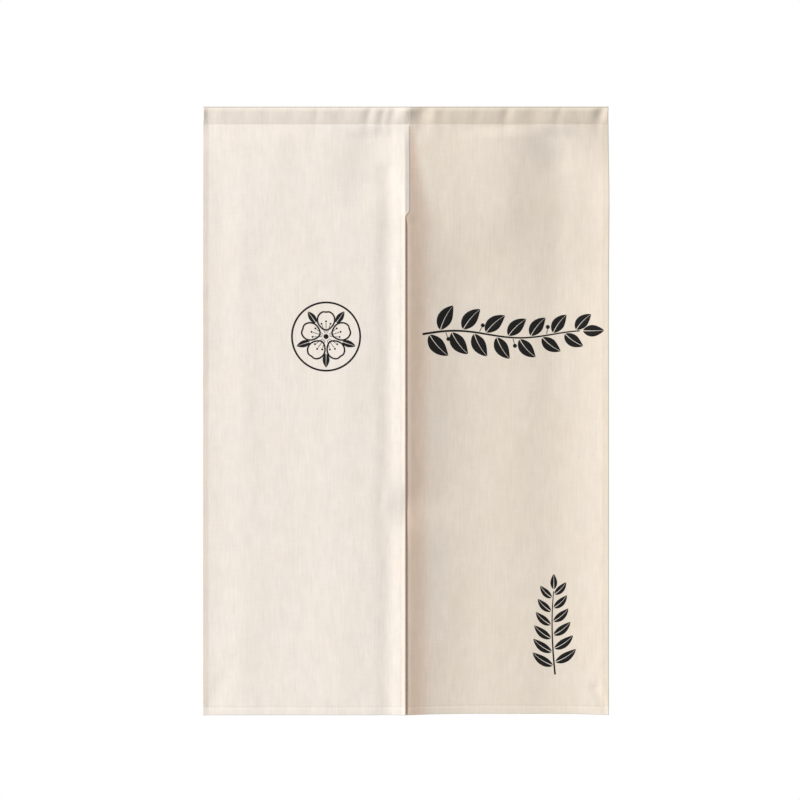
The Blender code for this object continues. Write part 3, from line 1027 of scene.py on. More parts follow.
@dataclass(frozen=True)
class RightCloth(ClothSheet):
    """The right cloth. Its rod pocket meets the left one's edge to edge, and below that it is
    tucked behind the left cloth. It falls away from there to the right, and comes forward again
    at its outer edge.

    A lap is a distance behind the left cloth's front. It has two in the slit: at its head and at
    the bottom. The strip beside the slit has two widths: below the pocket and at the slit's head.
    """

    left_cloth: LeftCloth | None = None
    side_depths: tuple[float, float] = (0.0, 0.25)
    top_lap: float = 0.0004
    sewn_lap: float = 0.0005
    open_lap: tuple[float, float] = (0.0024, 0.0032)
    lap_start: float = 0.002
    lap_fade: float = 0.030
    tuck_start: float = 0.001
    tuck_fade: float = 0.014
    strip: tuple[float, float] = (0.014, 0.044)
    strip_slope: float = 0.050
    strip_power: float = 1.5
    strip_start: float = 0.010
    # painted shade beside the slit: full up to this share of the strip's width, fading out over the
    # next
    painted_shade_from: float = 0.45
    painted_shade_fade: float = 0.90
    back: float = 0.0120
    back_drop: float = 0.340
    top_reach: float = 0.026
    reach: float = 0.145
    reach_power: float = 1.5
    crease_from: float = 0.030
    meet: float = 0.009
    rise: float = 0.0155
    rise_from: float = 0.280

    def edges(self, drop: np.ndarray) -> tuple[np.ndarray, np.ndarray]:
        """In to the seam at the pocket and behind the left cloth below it, and out to the outer
        edge.

        Args:
            drop: distances below the top edge.

        Returns:
            The x of the left and right edges.
        """
        start = SIZES.seam_x + self.top_lap
        tucked = smooth((drop - SIZES.pocket_drop - self.tuck_start) / self.tuck_fade)
        return start - (start + SIZES.tuck) * tucked, np.full(np.shape(drop), SIZES.half_width)

    def lap(self, drop: np.ndarray) -> np.ndarray:
        """How far behind the left cloth's front it is: almost none at the pocket, a little along
        the seam, and a hem's thickness and more in the slit.

        Args:
            drop: distances below the top edge.

        Returns:
            The laps.
        """
        sewn = (self.sewn_lap - self.top_lap) * smooth((drop - SIZES.pocket_drop) / self.tuck_fade)
        freed = np.interp(drop, (SIZES.slit_head, SIZES.height), self.open_lap) - self.sewn_lap
        freed = freed * smooth((drop - SIZES.slit_head + self.lap_start) / self.lap_fade)
        return self.top_lap + sewn + freed

    def side_hems(self, drop: np.ndarray) -> tuple[np.ndarray | float, np.ndarray | float]:
        """The inner hem is the left one."""
        return SIZES.open_share(drop), 1.0

    def side_starts(self) -> tuple[float, float]:
        """The inner hem is stitched from the slit's head, the outer one from below the pocket."""
        return SIZES.slit_head + SIZES.head_start, SIZES.pocket_drop + SIZES.flap + SIZES.hem_start

    def strip_width(self, drop: np.ndarray) -> np.ndarray:
        """Width of the strip beside the slit, growing evenly down to the slit's head."""
        return self.strip[0] + (self.strip[1] - self.strip[0]) * SIZES.sewn_share(drop)

    def painted_slit_shade(self, x: np.ndarray, drop: np.ndarray) -> np.ndarray:
        """Painted shade on the strip beside the slit, fading from within it to a third of its width
        beyond.
        """
        fading = smooth((x / self.strip_width(drop) - self.painted_shade_from) / self.painted_shade_fade)
        return np.where(drop < SIZES.pocket_drop, 0.0, 1.0) * (1.0 - fading)

    def open_hang(self, x: np.ndarray, drop: np.ndarray) -> np.ndarray:
        """Where nothing covers it. From the middle it falls back steeply and less and less
        further on, as the square of what is left of its reach, to where it hangs behind the
        pocket's stitch line, with the strip as a steeper part of its own. It comes forward to the
        outer edge as the square of the share of the way there. The reach and the depth both grow
        down the cloth.

        Args:
            x: positions across the curtain.
            drop: distances below the top edge.

        Returns:
            Distances towards -Y.
        """
        below, sewn = drop - SIZES.pocket_drop, SIZES.sewn_share(drop)
        grown = smooth(below / self.back_drop)
        reach = self.top_reach + (self.reach - self.top_reach) * grown**self.reach_power
        level = SIZES.sewn_half - self.back * grown**2
        left_over = 1.0 - np.clip(x / reach, 0.0, 1.0)
        start = self.left_cloth.hang(np.zeros(np.shape(drop)), drop) - self.lap(drop)
        width, power = self.strip_width(drop), self.strip_power
        strip = self.strip_slope * width / power * np.clip(1.0 - x / width, 0.0, 1.0) ** power
        strip = strip * smooth(below / self.strip_start)
        outer = np.clip((x - self.rise_from) / (SIZES.half_width - self.rise_from), 0.0, 1.0)
        rise = self.rise * smooth(sewn) * outer**2
        creases = self.creases(x, drop) * smooth(x / self.crease_from)
        return level + (start - level) * left_over**2 + strip + rise + creases

    def hang(self, x: np.ndarray, drop: np.ndarray) -> np.ndarray:
        """Behind the left cloth it follows that one's back, and it leaves it at the edge without
        a step.

        Args:
            x: positions across the curtain.
            drop: distances below the top edge.

        Returns:
            Distances towards -Y.
        """
        edge = self.left_cloth.edges(drop)[1]
        behind = self.left_cloth.hang(np.minimum(x, edge), drop) - self.lap(drop)
        off = self.left_cloth.hang(edge, drop) - self.lap(drop) - self.open_hang(edge, drop)
        leaving = off * (1.0 - smooth((x - edge) / self.meet))
        return np.where(x < edge, behind, self.open_hang(x, drop) + leaving)


# Stitching


@dataclass(frozen=True)
class Stitching:
    """Lock stitches of one cloth as short grains of thread, sunk at both ends.

    A grain is full from `shoulder` of its length, and at its ends `end_size` of its radius.
    """

    name: str
    length: float = 0.0030
    pitch: float = 0.0036
    radius: float = 0.00025
    proud: float = 0.00012
    sunk: float = 0.00012
    shoulder: float = 0.22
    end_size: float = 0.35
    sides: int = 6

    def build(
        self,
        cloth: ClothSheet,
        lines: list[tuple[np.ndarray, np.ndarray, Face]],
        material: bpy.types.Material,
    ) -> bpy.types.Object:
        """Makes all the lines of stitching on a cloth as one piece.

        Args:
            cloth: the cloth that they are on.
            lines: their flat lines, with the face that each shows on.
            material: the thread.

        Returns:
            The stitching.
        """
        shells = [self._line(cloth, x, drop, face) for x, drop, face in lines]
        obj = mesh_object(self.name, joined(shells), material)
        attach(obj, "root")
        return obj

    def _line(self, cloth: ClothSheet, x: np.ndarray, drop: np.ndarray, face: Face) -> Shell:
        """One line of stitches.

        The line is divided evenly by length. Each stitch is a tube of four rings along its own
        tangent, thin at its ends, with its middle proud of the cloth and its ends sunk in it.

        Args:
            cloth: the cloth that it is on.
            x: the line's x.
            drop: its drop.
            face: the face that it shows on.

        Returns:
            The stitches as one shell.
        """
        run = np.concatenate([[0.0], np.cumsum(np.hypot(np.diff(x), np.diff(drop)))])
        count = int(run[-1] / self.pitch)
        middle = (np.arange(count) + 0.5) * run[-1] / count
        start, end = (
            self._on_cloth(cloth, np.interp(at, run, x), np.interp(at, run, drop), face)
            for at in (middle - self.length / 2, middle + self.length / 2)
        )
        tangent = end - start
        tangent /= np.linalg.norm(tangent, axis=1, keepdims=True)
        side = np.cross(tangent, np.array([0.0, -1.0 * face.value, 0.0]))
        side /= np.linalg.norm(side, axis=1, keepdims=True)
        out = np.cross(side, tangent)
        share = np.array([0.0, self.shoulder, 1.0 - self.shoulder, 1.0])
        size = self.radius * np.array([self.end_size, 1.0, 1.0, self.end_size])
        lift = np.array([-self.sunk, self.proud, self.proud, -self.sunk])
        turn = np.arange(self.sides) * 2 * np.pi / self.sides
        centre = start[:, None, :] + (end - start)[:, None, :] * share[None, :, None]
        centre = centre + out[:, None, :] * lift[None, :, None]
        ring = side[:, None, None, :] * np.cos(turn)[None, None, :, None]
        ring = ring + out[:, None, None, :] * np.sin(turn)[None, None, :, None]
        points = centre[:, :, None, :] + ring * size[None, :, None, None]
        index = np.arange(4 * self.sides).reshape(4, self.sides)
        onward = np.roll(index, -1, axis=1)
        walls = np.stack([index[:-1], onward[:-1], onward[1:], index[1:]], -1).reshape(-1, 4)
        near_caps = np.array([[3, 2, 1, 0], [5, 4, 3, 0]])
        far_caps = np.array([[0, 1, 2, 3], [0, 3, 4, 5]]) + 3 * self.sides
        grain = np.concatenate([walls, near_caps, far_caps])
        faces = grain[None] + (np.arange(count) * 4 * self.sides)[:, None, None]
        along = np.broadcast_to((share * self.length)[None, :, None], points.shape[:3])
        around = np.broadcast_to(turn[None, None, :], points.shape[:3])
        flat = np.stack([along, around], axis=-1)
        return Shell(points.reshape(-1, 3), faces.reshape(-1, 4), flat.reshape(-1, 2))

    @staticmethod
    def _on_cloth(cloth: ClothSheet, x: np.ndarray, drop: np.ndarray, face: Face) -> np.ndarray:
        """Points on a face of the cloth.

        Args:
            cloth: the cloth.
            x: positions across the curtain.
            drop: distances below the top edge.
            face: the face; at the pocket's stitch line the back one is that of the turned edge.

        Returns:
            Points, n x 3.
        """
        y = -cloth.front_forward(x, drop)
        if face is Face.BACK:
            doubled = 2 * SIZES.sewn_half - 2 * cloth.seam_relief(x, drop)
            on_flap = drop < SIZES.pocket_drop + SIZES.flap
            y = y + np.where(on_flap, doubled, cloth.thickness(x, drop))
        return np.stack([x, y, -drop], axis=1)


# The print


def facing(patch: np.ndarray) -> np.ndarray:
    """Puts a patch of flat positions in an order in which its columns run to the right of its
    rows, by the sign of the cross product of its middle row and its first column.

    Args:
        patch: rows x columns x 2 flat positions.

    Returns:
        The patch, or its mirror image in the order of its columns.
    """
    middle = patch[len(patch) // 2]
    across, up = middle[-1] - middle[0], patch[-1, 0] - patch[0, 0]
    return patch if across[1] * up[0] - across[0] * up[1] > 0 else patch[:, ::-1]


def moved(place: tuple[float, float], angle: float, away: float) -> tuple[float, float]:
    """The flat position at a distance from another, in a direction turned from +x up."""
    return place[0] + away * np.cos(angle), place[1] - away * np.sin(angle)


def turned(points: np.ndarray, angle: float, place: tuple[float, float]) -> np.ndarray:
    """Turns flat points about their origin, from pointing along +x up towards the top edge, and
    moves them to a place.

    Args:
        points: points whose second value is a height above the origin.
        angle: the turn, in radians.
        place: the flat position of the origin.

    Returns:
        Flat positions.
    """
    x = points[..., 0] * np.cos(angle) - points[..., 1] * np.sin(angle)
    up = points[..., 0] * np.sin(angle) + points[..., 1] * np.cos(angle)
    return np.stack([place[0] + x, place[1] - up], axis=-1)


def strip_along(line: np.ndarray, width: np.ndarray) -> np.ndarray:
    """A strip half its width to either side of a line, square to the line's own direction.

    Args:
        line: flat positions, n x 2.
        width: the strip's width at each.

    Returns:
        A patch of flat positions.
    """
    along = np.gradient(line, axis=0)
    along /= np.linalg.norm(along, axis=1, keepdims=True)
    normal = np.stack([-along[:, 1], along[:, 0]], -1)
    away = np.linspace(-0.5, 0.5, 4)[None, :, None] * width[:, None, None]
    return line[:, None, :] + normal[:, None, :] * away


@dataclass(frozen=True)
class Leaf:
    """A printed leaf: two halves either side of a bare midrib, curved to one side."""

    length: float
    width: float
    bend: float = 0.25
    rib: float = 0.0016
    bluntness: float = 0.85
    rib_taper: float = 0.7
    thinnest: float = 0.00012

    def patches(self, place: tuple[float, float], angle: float) -> list[np.ndarray]:
        """The two halves. A half's width is the sine of the share of the length, both to the
        power of the bluntness, from the rib out, and the midrib turns evenly by the bend.

        Args:
            place: the flat position of the leaf's foot.
            angle: its direction there, in radians, from +x up.

        Returns:
            Two patches of flat positions.
        """
        share = np.linspace(0.0, 1.0, 19)[:, None]
        out = np.linspace(0.0, 1.0, 6)[None, :]
        heading = self.bend * (share - 0.5)
        middle = np.cumsum(np.hstack([np.cos(heading), np.sin(heading)]), axis=0)
        middle = (middle - middle[0]) * self.length / (len(share) - 1)
        half = np.sin(np.pi * share**self.bluntness) ** self.bluntness
        half = self.width / 2 * half + self.thinnest
        rib = self.rib / 2 * (1.0 - self.rib_taper * share)
        halves = []
        for side in (-1.0, 1.0):
            away = side * (rib + half * out)
            x = middle[:, :1] - np.sin(heading) * away
            up = middle[:, 1:] + np.cos(heading) * away
            halves.append(turned(np.stack([x, up], axis=-1), angle, place))
        return halves


@dataclass(frozen=True)
class Stroke:
    """A printed line that follows points, with a width at each end."""

    points: tuple[tuple[float, float], ...]
    widths: tuple[float, float]

    def patch(self) -> np.ndarray:
        """A strip along the points, which are smoothed by running a cubic through them.

        Returns:
            A patch of flat positions.
        """
        given = np.array(self.points)
        share = np.linspace(0.0, 1.0, len(given))
        at = np.linspace(0.0, 1.0, 8 * (len(given) - 1) + 1)
        order = min(3, len(given) - 1)
        line = [np.polyval(np.polyfit(share, given[:, axis], order), at) for axis in (0, 1)]
        return strip_along(np.stack(line, -1), np.interp(at, [0.0, 1.0], self.widths))


@dataclass(frozen=True)
class Spot:
    """A printed round spot."""

    place: tuple[float, float]
    radius: float

    def patch(self) -> np.ndarray:
        """A square grid drawn into a circle: each value is shortened by the other one's, as the
        root of 1 less half its square.

        Returns:
            A patch of flat positions.
        """
        a, b = np.meshgrid(np.linspace(-1, 1, 9), np.linspace(-1, 1, 9))
        disc = np.stack([a * np.sqrt(1 - b**2 / 2), b * np.sqrt(1 - a**2 / 2)], -1)
        return turned(disc * self.radius, 0.0, self.place)


@dataclass(frozen=True)
class PrintedMotif(ABC):
    """A motif printed on a cloth, with the ink a little proud of the cloth and a little sunk."""

    name: str
    place: tuple[float, float]
    ink_proud: float = 0.00014
    ink_sunk: float = 0.00006

    @abstractmethod
    def patches(self) -> list[np.ndarray]:
        """The patches of ink that make the motif, as flat positions."""

    def rings(self) -> list[np.ndarray]:
        """Patches whose last column runs on into the first: none, unless a motif says so."""
        return []

    def build(self, cloth: ClothSheet, material: bpy.types.Material) -> bpy.types.Object:
        """Makes the motif as one piece.

        Args:
            cloth: the cloth that it is printed on.
            material: the ink.

        Returns:
            The motif.
        """
        shells = [self._inked(cloth, ring, True) for ring in self.rings()]
        shells += [self._inked(cloth, facing(patch), False) for patch in self.patches()]
        obj = mesh_object(self.name, joined(shells), material)
        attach(obj, "root")
        return obj

    def _inked(self, cloth: ClothSheet, patch: np.ndarray, ring: bool) -> Shell:
        """Lays a patch of ink on the front of a cloth.

        Args:
            cloth: the cloth.
            patch: flat positions.
            ring: whether its last column runs on into the first.

        Returns:
            The closed shell.
        """
        x, drop = patch[..., 0], patch[..., 1]
        y = -cloth.front_forward(x, drop)
        front = np.stack([x, y - self.ink_proud, -drop], axis=-1)
        back = np.stack([x, y + self.ink_sunk, -drop], axis=-1)
        return closed_sheet(front, back, patch, ring)


@dataclass(frozen=True)
class BlossomRound(PrintedMotif):
    """A five-petalled blossom in a ring, with a leaf between each two petals and three stamens
    on each petal, each with its own spread from the petal's middle and its own reach."""

    ring_radius: float = 0.069
    ring_line: float = 0.0036
    petals: int = 5
    petal_radius: float = 0.0186
    petal_away: float = 0.0330
    petal_line: float = 0.0031
    drawn_out: tuple[float, float] = (0.16, 0.55)
    notch: tuple[float, float] = (0.10, 0.30)
    heart: float = 0.0050
    stamens: tuple[tuple[float, float], ...] = ((-0.34, 0.0265), (0.0, 0.0300), (0.34, 0.0265))
    stamen_widths: tuple[float, float] = (0.0009, 0.0012)
    stamen_gaps: tuple[float, float] = (0.0022, 0.0030)
    stamen_tip: float = 0.0019
    leaf: Leaf = Leaf(0.0275, 0.0125, 0.0, 0.0013)
    leaf_away: float = 0.0335

    def _angles(self) -> np.ndarray:
        """The directions of the petals from the motif's middle, the first straight up."""
        return np.pi / 2 + np.arange(self.petals) * 2 * np.pi / self.petals

    def rings(self) -> list[np.ndarray]:
        """The ring and the petals' outlines. A petal's outline is a circle drawn out towards the
        heart and notched at its tip, each by a bell of the angle from that direction.

        Returns:
            Patches of flat positions.
        """
        turn = np.linspace(0.0, 2 * np.pi, 129)[:-1]
        circle = np.full(turn.shape, self.ring_radius)
        made = [self._band(turn, circle, self.ring_line, 0.0, 0.0)]
        turn = np.linspace(0.0, 2 * np.pi, 65)[:-1]
        inward = np.abs(np.angle(np.exp(1j * (turn - np.pi))))
        outward = np.abs(np.angle(np.exp(1j * turn)))
        drawn = self.drawn_out[0] * bell(inward, self.drawn_out[1])
        outline = 1.0 + drawn - self.notch[0] * bell(outward, self.notch[1])
        outline = self.petal_radius * outline
        for angle in self._angles():
            made.append(self._band(turn, outline, self.petal_line, angle, self.petal_away))
        return made

    def patches(self) -> list[np.ndarray]:
        """The heart, the stamens and the leaves.

        Returns:
            Patches of flat positions.
        """
        made = [Spot(self.place, self.heart).patch()]
        near, far = self.stamen_gaps
        for angle in self._angles():
            for spread, reach in self.stamens:
                start = moved(self.place, angle + spread, self.heart + near)
                end = moved(self.place, angle + spread, reach - far)
                made.append(Stroke((start, end), self.stamen_widths).patch())
                tip = moved(self.place, angle + spread, reach)
                made.append(Spot(tip, self.stamen_tip).patch())
            between = angle + np.pi / self.petals
            foot = moved(self.place, between, self.leaf_away)
            made += self.leaf.patches(foot, between)
        return made

    def _band(
        self, turn: np.ndarray, outline: np.ndarray, line: float, angle: float, away: float
    ) -> np.ndarray:
        """A closed band along an outline.

        Args:
            turn: the angles round the band's own middle.
            outline: its outer radius at each.
            line: the band's width.
            angle: the direction of its middle from the motif's middle.
            away: the distance of it.

        Returns:
            A patch of flat positions.
        """
        radius = outline[None, :] - np.linspace(0.0, line, 4)[:, None]
        points = np.stack([radius * np.cos(turn), radius * np.sin(turn)], axis=-1)
        return turned(points, angle, moved(self.place, angle, away))[:, ::-1]


@dataclass(frozen=True)
class LeafSprig(PrintedMotif):
    """A leafy sprig that runs across, with berries between its leaves.

    Leaves and angles have a value at the foot of the stem and one at its end.
    """

    length: float = 0.322
    wave: float = 0.007
    waves: float = 1.25
    stem: tuple[float, float] = (0.0042, 0.0024)
    stem_end: float = 0.965
    leaves: int = 14
    leaf: tuple[float, float] = (0.056, 0.041)
    leaf_width: tuple[float, float] = (0.0285, 0.0215)
    leaf_angle: tuple[float, float] = (1.02, 0.72)
    leaf_bend: float = 0.45
    leaf_stalk: float = 0.0042
    leaf_first: float = 0.035
    leaf_run: float = 0.90
    tip_bend: float = 0.1
    tip_at: float = 0.985
    berry: float = 0.0040
    berry_angle: float = 1.25
    berry_step: float = 0.035
    berry_reach: tuple[float, float, float] = (0.0030, 0.0125, 0.0168)
    berry_stalk: tuple[float, float] = (0.0016, 0.0012)

    def stem_at(self, share: np.ndarray) -> np.ndarray:
        """The stem's line: one and a quarter waves about a level line.

        Args:
            share: shares of the way along.

        Returns:
            Flat positions.
        """
        x = self.place[0] + self.length * (share - 0.5)
        drop = self.place[1] - self.wave * np.sin(2 * np.pi * self.waves * share)
        return np.stack([x, drop], axis=-1)

    def _foot(self, at: float, ahead: float = 0.01) -> tuple[tuple[float, float], float]:
        """A place on the stem.

        Args:
            at: its share of the way along.
            ahead: how much further on the direction is taken.

        Returns:
            Its flat position, and the stem's direction from +x up.
        """
        foot, onward = self.stem_at(np.array([at, at + ahead]))
        return (foot[0], foot[1]), np.arctan2(foot[1] - onward[1], onward[0] - foot[0])

    def patches(self) -> list[np.ndarray]:
        """The stem, the leaves to either side in turn, the berries, and a leaf at the tip.

        Returns:
            Patches of flat positions.
        """
        share = np.linspace(0.0, self.stem_end, 60)
        made = [strip_along(self.stem_at(share), np.interp(share, [0.0, 1.0], self.stem))]
        for number in range(self.leaves):
            at = self.leaf_first + self.leaf_run * number / (self.leaves - 1)
            side = 1.0 if number % 2 else -1.0
            foot, heading = self._foot(at)
            length, width, angle = (
                np.interp(at, [0.0, 1.0], ends)
                for ends in (self.leaf, self.leaf_width, self.leaf_angle)
            )
            angle = heading + side * angle
            place = moved(foot, angle, self.leaf_stalk)
            made += Leaf(length, width, -self.leaf_bend * side).patches(place, angle)
            if number % 3 == 1 and number < self.leaves - 1:
                made += self._berry(at + self.berry_step, -side)
        tip, heading = self._foot(self.tip_at, 1.0 - self.tip_at)
        made += Leaf(self.leaf[1], self.leaf_width[1], self.tip_bend).patches(tip, heading)
        return made

    def _berry(self, at: float, side: float) -> list[np.ndarray]:
        """A round berry on a short stalk beside the stem.

        Args:
            at: its share of the way along the stem.
            side: 1 above the stem, -1 below it.

        Returns:
            Patches of flat positions.
        """
        foot, heading = self._foot(at)
        angle = heading + side * self.berry_angle
        start, end, middle = (moved(foot, angle, away) for away in self.berry_reach)
        return [Stroke((start, end), self.berry_stalk).patch(), Spot(middle, self.berry).patch()]


@dataclass(frozen=True)
class LeafSpray(PrintedMotif):
    """An upright spray of paired leaves.

    Leaves and angles have a value at the foot of the stem and one at its top.
    """

    height: float = 0.196
    sway: float = 0.006
    stem: tuple[float, float] = (0.0034, 0.0016)
    stem_end: float = 0.84
    pairs: int = 6
    leaf: tuple[float, float] = (0.050, 0.028)
    leaf_width: tuple[float, float] = (0.0170, 0.0115)
    leaf_angle: tuple[float, float] = (1.05, 0.70)
    leaf_bend: float = 0.5
    leaf_stalk: float = 0.0036
    leaf_first: float = 0.10
    leaf_run: float = 0.68
    leaf_offset: float = 0.018
    tip: Leaf = Leaf(0.030, 0.0120, 0.0)
    tip_at: float = 0.86

    def stem_at(self, share: float) -> tuple[float, float]:
        """The stem's line: up from its foot, leaning a little to the left and back."""
        x = self.place[0] - self.sway * np.sin(np.pi * share)
        return x, self.place[1] + self.height * (0.5 - share)

    def patches(self) -> list[np.ndarray]:
        """The stem, the pairs of leaves up it and one leaf at its tip.

        Returns:
            Patches of flat positions.
        """
        points = tuple(self.stem_at(share) for share in np.linspace(0.0, self.stem_end, 7))
        made = [Stroke(points, self.stem).patch()]
        for number in range(self.pairs):
            at = self.leaf_first + self.leaf_run * number / (self.pairs - 1)
            length, width, angle = (
                np.interp(at, [0.0, 1.0], ends)
                for ends in (self.leaf, self.leaf_width, self.leaf_angle)
            )
            for side in (-1.0, 1.0):
                out = np.pi / 2 - side * angle
                place = moved(self.stem_at(at + self.leaf_offset * side), out, self.leaf_stalk)
                made += Leaf(length, width, self.leaf_bend * side).patches(place, out)
        return made + self.tip.patches(self.stem_at(self.tip_at), np.pi / 2)


# The studio


@dataclass(frozen=True)
class Studio:
    """A pale floor far below, soft light from the upper left, and the camera."""

    floor_z: float = -2.6
    floor_radius: float = 4.0
    floor_fade: float = 2.0
    floor_colours: tuple[str, str] = ("#D9D8D6", "#DEDDDB")
    floor_clouds: float = 1.5
    floor_roughness: float = 0.9
    camera_place: tuple[float, float, float] = (-0.0113, -3.727, -0.579)
    lens: float = 85.0
    sensor: float = 36.0
    clip_end: float = 100.0
    key: tuple[float, float, float] = (-11.2, -7.6, 7.9)
    key_power: float = 3200.0
    key_size: float = 3.6
    fill: tuple[float, float, float] = (1.6, 2.4, 1.5)
    fill_strength: float = 1.3
    fill_angle: float = 30.0
    ambient: float = 0.25

    def build(self) -> None:
        """Makes the floor, the lights, the background and the camera."""
        turn = np.linspace(0.0, 2 * np.pi, 65)[:-1]
        rim = np.stack([np.cos(turn), np.sin(turn), np.zeros(len(turn))], -1) * self.floor_radius
        mesh = bpy.data.meshes.new("floor")
        mesh.from_pydata(rim + np.array([0.0, 0.0, self.floor_z]), [], [tuple(range(len(turn)))])
        mesh.materials.append(self._floor_material())
        floor = bpy.data.objects.new("floor", mesh)
        bpy.context.scene.collection.objects.link(floor)
        key = bpy.data.lights.new("key_light", "AREA")
        key.shape = "DISK"
        key.size = self.key_size
        key.energy = self.key_power
        middle = Vector((0.0, 0.0, -SIZES.height / 2))
        self._place_light(key, Vector(self.key), Vector(self.key) - middle)
        fill = bpy.data.lights.new("back_fill_light", "SUN")
        fill.energy = self.fill_strength
        fill.angle = np.radians(self.fill_angle)
        self._place_light(fill, Vector(self.fill), Vector(self.fill))
        self._world()
        camera = bpy.data.cameras.new("camera")
        camera.lens = self.lens
        camera.sensor_width = self.sensor
        camera.clip_end = self.clip_end
        placed = bpy.data.objects.new("camera", camera)
        placed.location = self.camera_place
        placed.rotation_euler = (np.pi / 2, 0.0, 0.0)
        bpy.context.scene.collection.objects.link(placed)
        bpy.context.scene.camera = placed
        bpy.context.scene.view_settings.view_transform = "Standard"

    def _floor_material(self) -> bpy.types.Material:
        """Matt white paint, with the faint cloudiness of a rolled coat. It is clear at the
        floor's rim, so that the floor has no edge.

        Returns:
            The material.
        """
        made, shader = new_material("matt_floor_paint", {"Roughness": self.floor_roughness})
        tree = made.node_tree
        place = add_node(tree, "ShaderNodeTexCoord").outputs["Object"]
        noise = {"Vector": place, "Scale": self.floor_clouds}
        noise = add_node(tree, "ShaderNodeTexNoise", inputs=noise).outputs[0]
        dark, light = (linear(colour) for colour in self.floor_colours)
        mixed = {MIX_FACTOR: noise, MIX_A: dark, MIX_B: light}
        mixed = add_node(tree, "ShaderNodeMix", {"data_type": "RGBA"}, mixed)
        tree.links.new(mixed.outputs[MIX_COLOUR], shader.inputs["Base Color"])
        level = {0: place, 1: (1.0, 1.0, 0.0)}
        level = add_node(tree, "ShaderNodeVectorMath", {"operation": "MULTIPLY"}, level)
        away = {0: level.outputs[0]}
        away = add_node(tree, "ShaderNodeVectorMath", {"operation": "LENGTH"}, away).outputs["Value"]
        solid = {"Value": away, "From Min": self.floor_radius, "From Max": self.floor_fade}
        solid = add_node(tree, "ShaderNodeMapRange", {"interpolation_type": "SMOOTHSTEP"}, solid)
        tree.links.new(solid.outputs[0], shader.inputs["Alpha"])
        return made

    @staticmethod
    def _place_light(light: bpy.types.Light, place: Vector, away: Vector) -> None:
        """Puts a light in its place.

        Args:
            light: the light.
            place: where it stands.
            away: the direction from what it lights to it.
        """
        placed = bpy.data.objects.new(light.name, light)
        placed.location = place
        placed.rotation_mode = "QUATERNION"
        placed.rotation_quaternion = away.to_track_quat("Z", "Y")
        bpy.context.scene.collection.objects.link(placed)

    def _world(self) -> None:
        """White behind the object, and an even grey light from all round."""
        world = bpy.data.worlds.new("studio")
        bpy.context.scene.world = world
        world.use_nodes = True
        tree = world.node_tree
        tree.nodes.clear()
        white = add_node(tree, "ShaderNodeBackground", inputs={"Color": linear("#FFFFFF")})
        light = {"Color": linear("#FFFFFF"), "Strength": self.ambient}
        light = add_node(tree, "ShaderNodeBackground", inputs=light)
        seen = add_node(tree, "ShaderNodeLightPath").outputs["Is Camera Ray"]
        mixed = {0: seen, 1: light.outputs[0], 2: white.outputs[0]}
        mixed = add_node(tree, "ShaderNodeMixShader", inputs=mixed)
        add_node(tree, "ShaderNodeOutputWorld", inputs={"Surface": mixed.outputs[0]})


# This curtain's own folds, puckers, finishes and motifs

LEFT_CANVAS = Canvas("unbleached_cotton_linen_canvas_left", "#F4ECE3", "#F1E6DA")
RIGHT_CANVAS = Canvas("unbleached_cotton_linen_canvas_right", "#EADFD1", "#E6D9C8")
THREAD = SewingThread("#F5EEE3", "#EADFD0")
INK = PigmentInk("#0C0B0B", "#191817")
BLOSSOM = BlossomRound("blossom_print", (-0.157, 0.454))
SPRIG = LeafSprig("sprig_print", (0.194, 0.449))
SPRAY = LeafSpray("spray_print", (0.2955, 1.024))

LEFT_CLOTH = LeftCloth(
    name="left_cloth",
    replaced=("left_panel", "left_rod_pocket"),
    folds=(
        Fold((-0.060, 0.050), (-0.070, 0.145), 0.046, -0.0034),
        Fold((-0.036, 0.130), (-0.037, 1.300), 0.017, -0.0019),
        Fold((-0.325, 0.080), (-0.320, 1.300), 0.030, 0.0009),
        Fold((-0.215, 0.700), (-0.230, 1.300), 0.045, -0.0005),
        Fold((-0.120, 0.520), (-0.125, 1.150), 0.036, 0.0007),
        Fold((-0.250, 0.060), (-0.290, 0.230), 0.038, 0.0010),
        Fold((-0.360, 1.130), (-0.397, 1.195), 0.016, -0.0009),
    ),
    puckers=(
        Pucker(-0.403, 0.007, -0.50),
        Pucker(-0.386, 0.012, 0.40, -0.1),
        Pucker(-0.350, 0.012, 0.10, 0.2),
        Pucker(-0.318, 0.012, 0.14, 0.2),
        Pucker(-0.274, 0.012, 0.16, -0.2),
        Pucker(-0.222, 0.010, 0.12, 0.2),
        Pucker(-0.175, 0.0085, 0.26, 0.1),
        Pucker(-0.126, 0.014, 0.22, 0.1),
        Pucker(-0.0730, 0.008, 0.50, 0.15),
        Pucker(-0.045, 0.007, 0.42, 0.2),
        Pucker(-0.026, 0.009, 0.36, 0.2),
        Pucker(0.000, 0.0120, -0.45),
        Pucker(0.0335, 0.0190, 1.00),
    ),
    uneven=Unevenness(11, 0.00030),
    outer_fullness=0.70,
    mouth_curve=0.0012,
    flat_size=(0.456, 1.275),
)
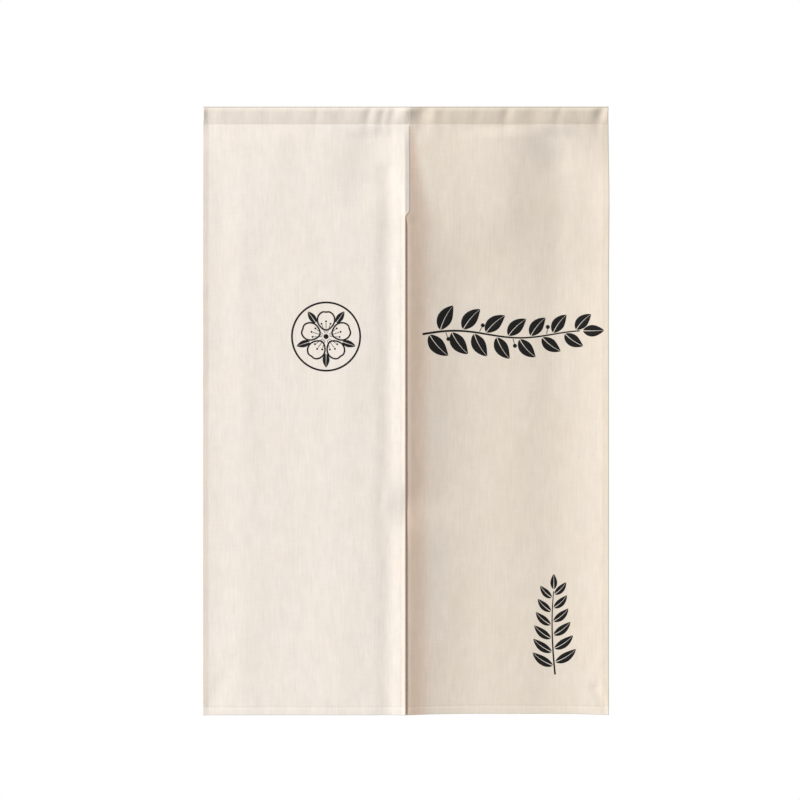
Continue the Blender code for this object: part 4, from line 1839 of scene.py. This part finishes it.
RIGHT_CLOTH = RightCloth(
    name="right_cloth",
    replaced=("right_panel", "right_rod_pocket"),
    folds=(
        Fold((0.194, 0.060), (0.196, 0.190), 0.066, 0.0050),
        Fold((0.281, 0.050), (0.300, 0.105), 0.035, -0.0040),
        Fold((0.340, 0.160), (0.330, 0.300), 0.028, 0.0006),
        Fold((0.225, 0.330), (0.215, 1.300), 0.045, 0.0008),
        Fold((0.300, 0.250), (0.290, 1.000), 0.032, -0.0004),
        Fold((0.375, 1.150), (0.397, 1.190), 0.010, -0.0022),
    ),
    puckers=(
        Pucker(0.000, 0.0120, -0.45),
        Pucker(0.0335, 0.0190, 1.00),
        Pucker(0.0540, 0.0100, -0.26),
        Pucker(0.0760, 0.0090, 0.10),
        Pucker(0.0720, 0.012, 0.16, 0.2),
        Pucker(0.098, 0.012, 0.14, -0.2),
        Pucker(0.142, 0.010, 0.16, 0.2),
        Pucker(0.199, 0.0100, 0.48, 0.15),
        Pucker(0.253, 0.019, 0.42, 0.1),
        Pucker(0.3020, 0.008, 0.28, 0.2),
        Pucker(0.340, 0.011, 0.14, -0.2),
        Pucker(0.3835, 0.0110, 0.75, 0.2),
    ),
    uneven=Unevenness(23, 0.00034),
    mouth_curve=0.0008,
    outer_fullness=1.12,
    flat_size=(0.460, 1.275),
    left_cloth=LEFT_CLOTH,
)


def joining_seam() -> tuple[np.ndarray, np.ndarray, Face]:
    """The line of stitches that joins the cloths, from below the pocket to the slit's head.

    Returns:
        Its x, its drop and the face that it shows on.
    """
    start, end = SIZES.pocket_drop + SIZES.seam_start, SIZES.slit_head - SIZES.last_stitch
    x = np.full(LINE_POINTS, SIZES.seam_x - SIZES.seam_stitch)
    return x, np.linspace(start, end, LINE_POINTS), Face.FRONT


def build_cloth(
    cloth: ClothSheet,
    finish: Canvas,
    thread: bpy.types.Material,
    ink: bpy.types.Material,
    motifs: tuple[PrintedMotif, ...],
    joining: list[tuple[np.ndarray, np.ndarray, Face]],
) -> None:
    """Args:
        cloth: the cloth.
        finish: its canvas.
        thread: the thread's material.
        ink: the ink's material.
        motifs: what is printed on it.
        joining: lines of the seam that joins it to the other cloth.
    """
    sheet = cloth.build(finish.material())
    stitching = Stitching(cloth.name.replace("cloth", "stitching"))
    sewn = stitching.build(cloth, cloth.stitched_lines() + joining, thread)
    printed = [motif.build(cloth, ink) for motif in motifs]
    for piece in (sheet, sewn, *printed):
        LOG.info("%s: %d faces", piece.name, len(piece.data.polygons))


def main() -> None:
    """Builds the two cloths and the studio."""
    logging.basicConfig(level=logging.INFO, format="%(name)s %(message)s")
    thread, ink = THREAD.material(), INK.material()
    build_cloth(LEFT_CLOTH, LEFT_CANVAS, thread, ink, (BLOSSOM,), [joining_seam()])
    build_cloth(RIGHT_CLOTH, RIGHT_CANVAS, thread, ink, (SPRIG, SPRAY), [])
    Studio().build()


if __name__ == "__main__":
    main()
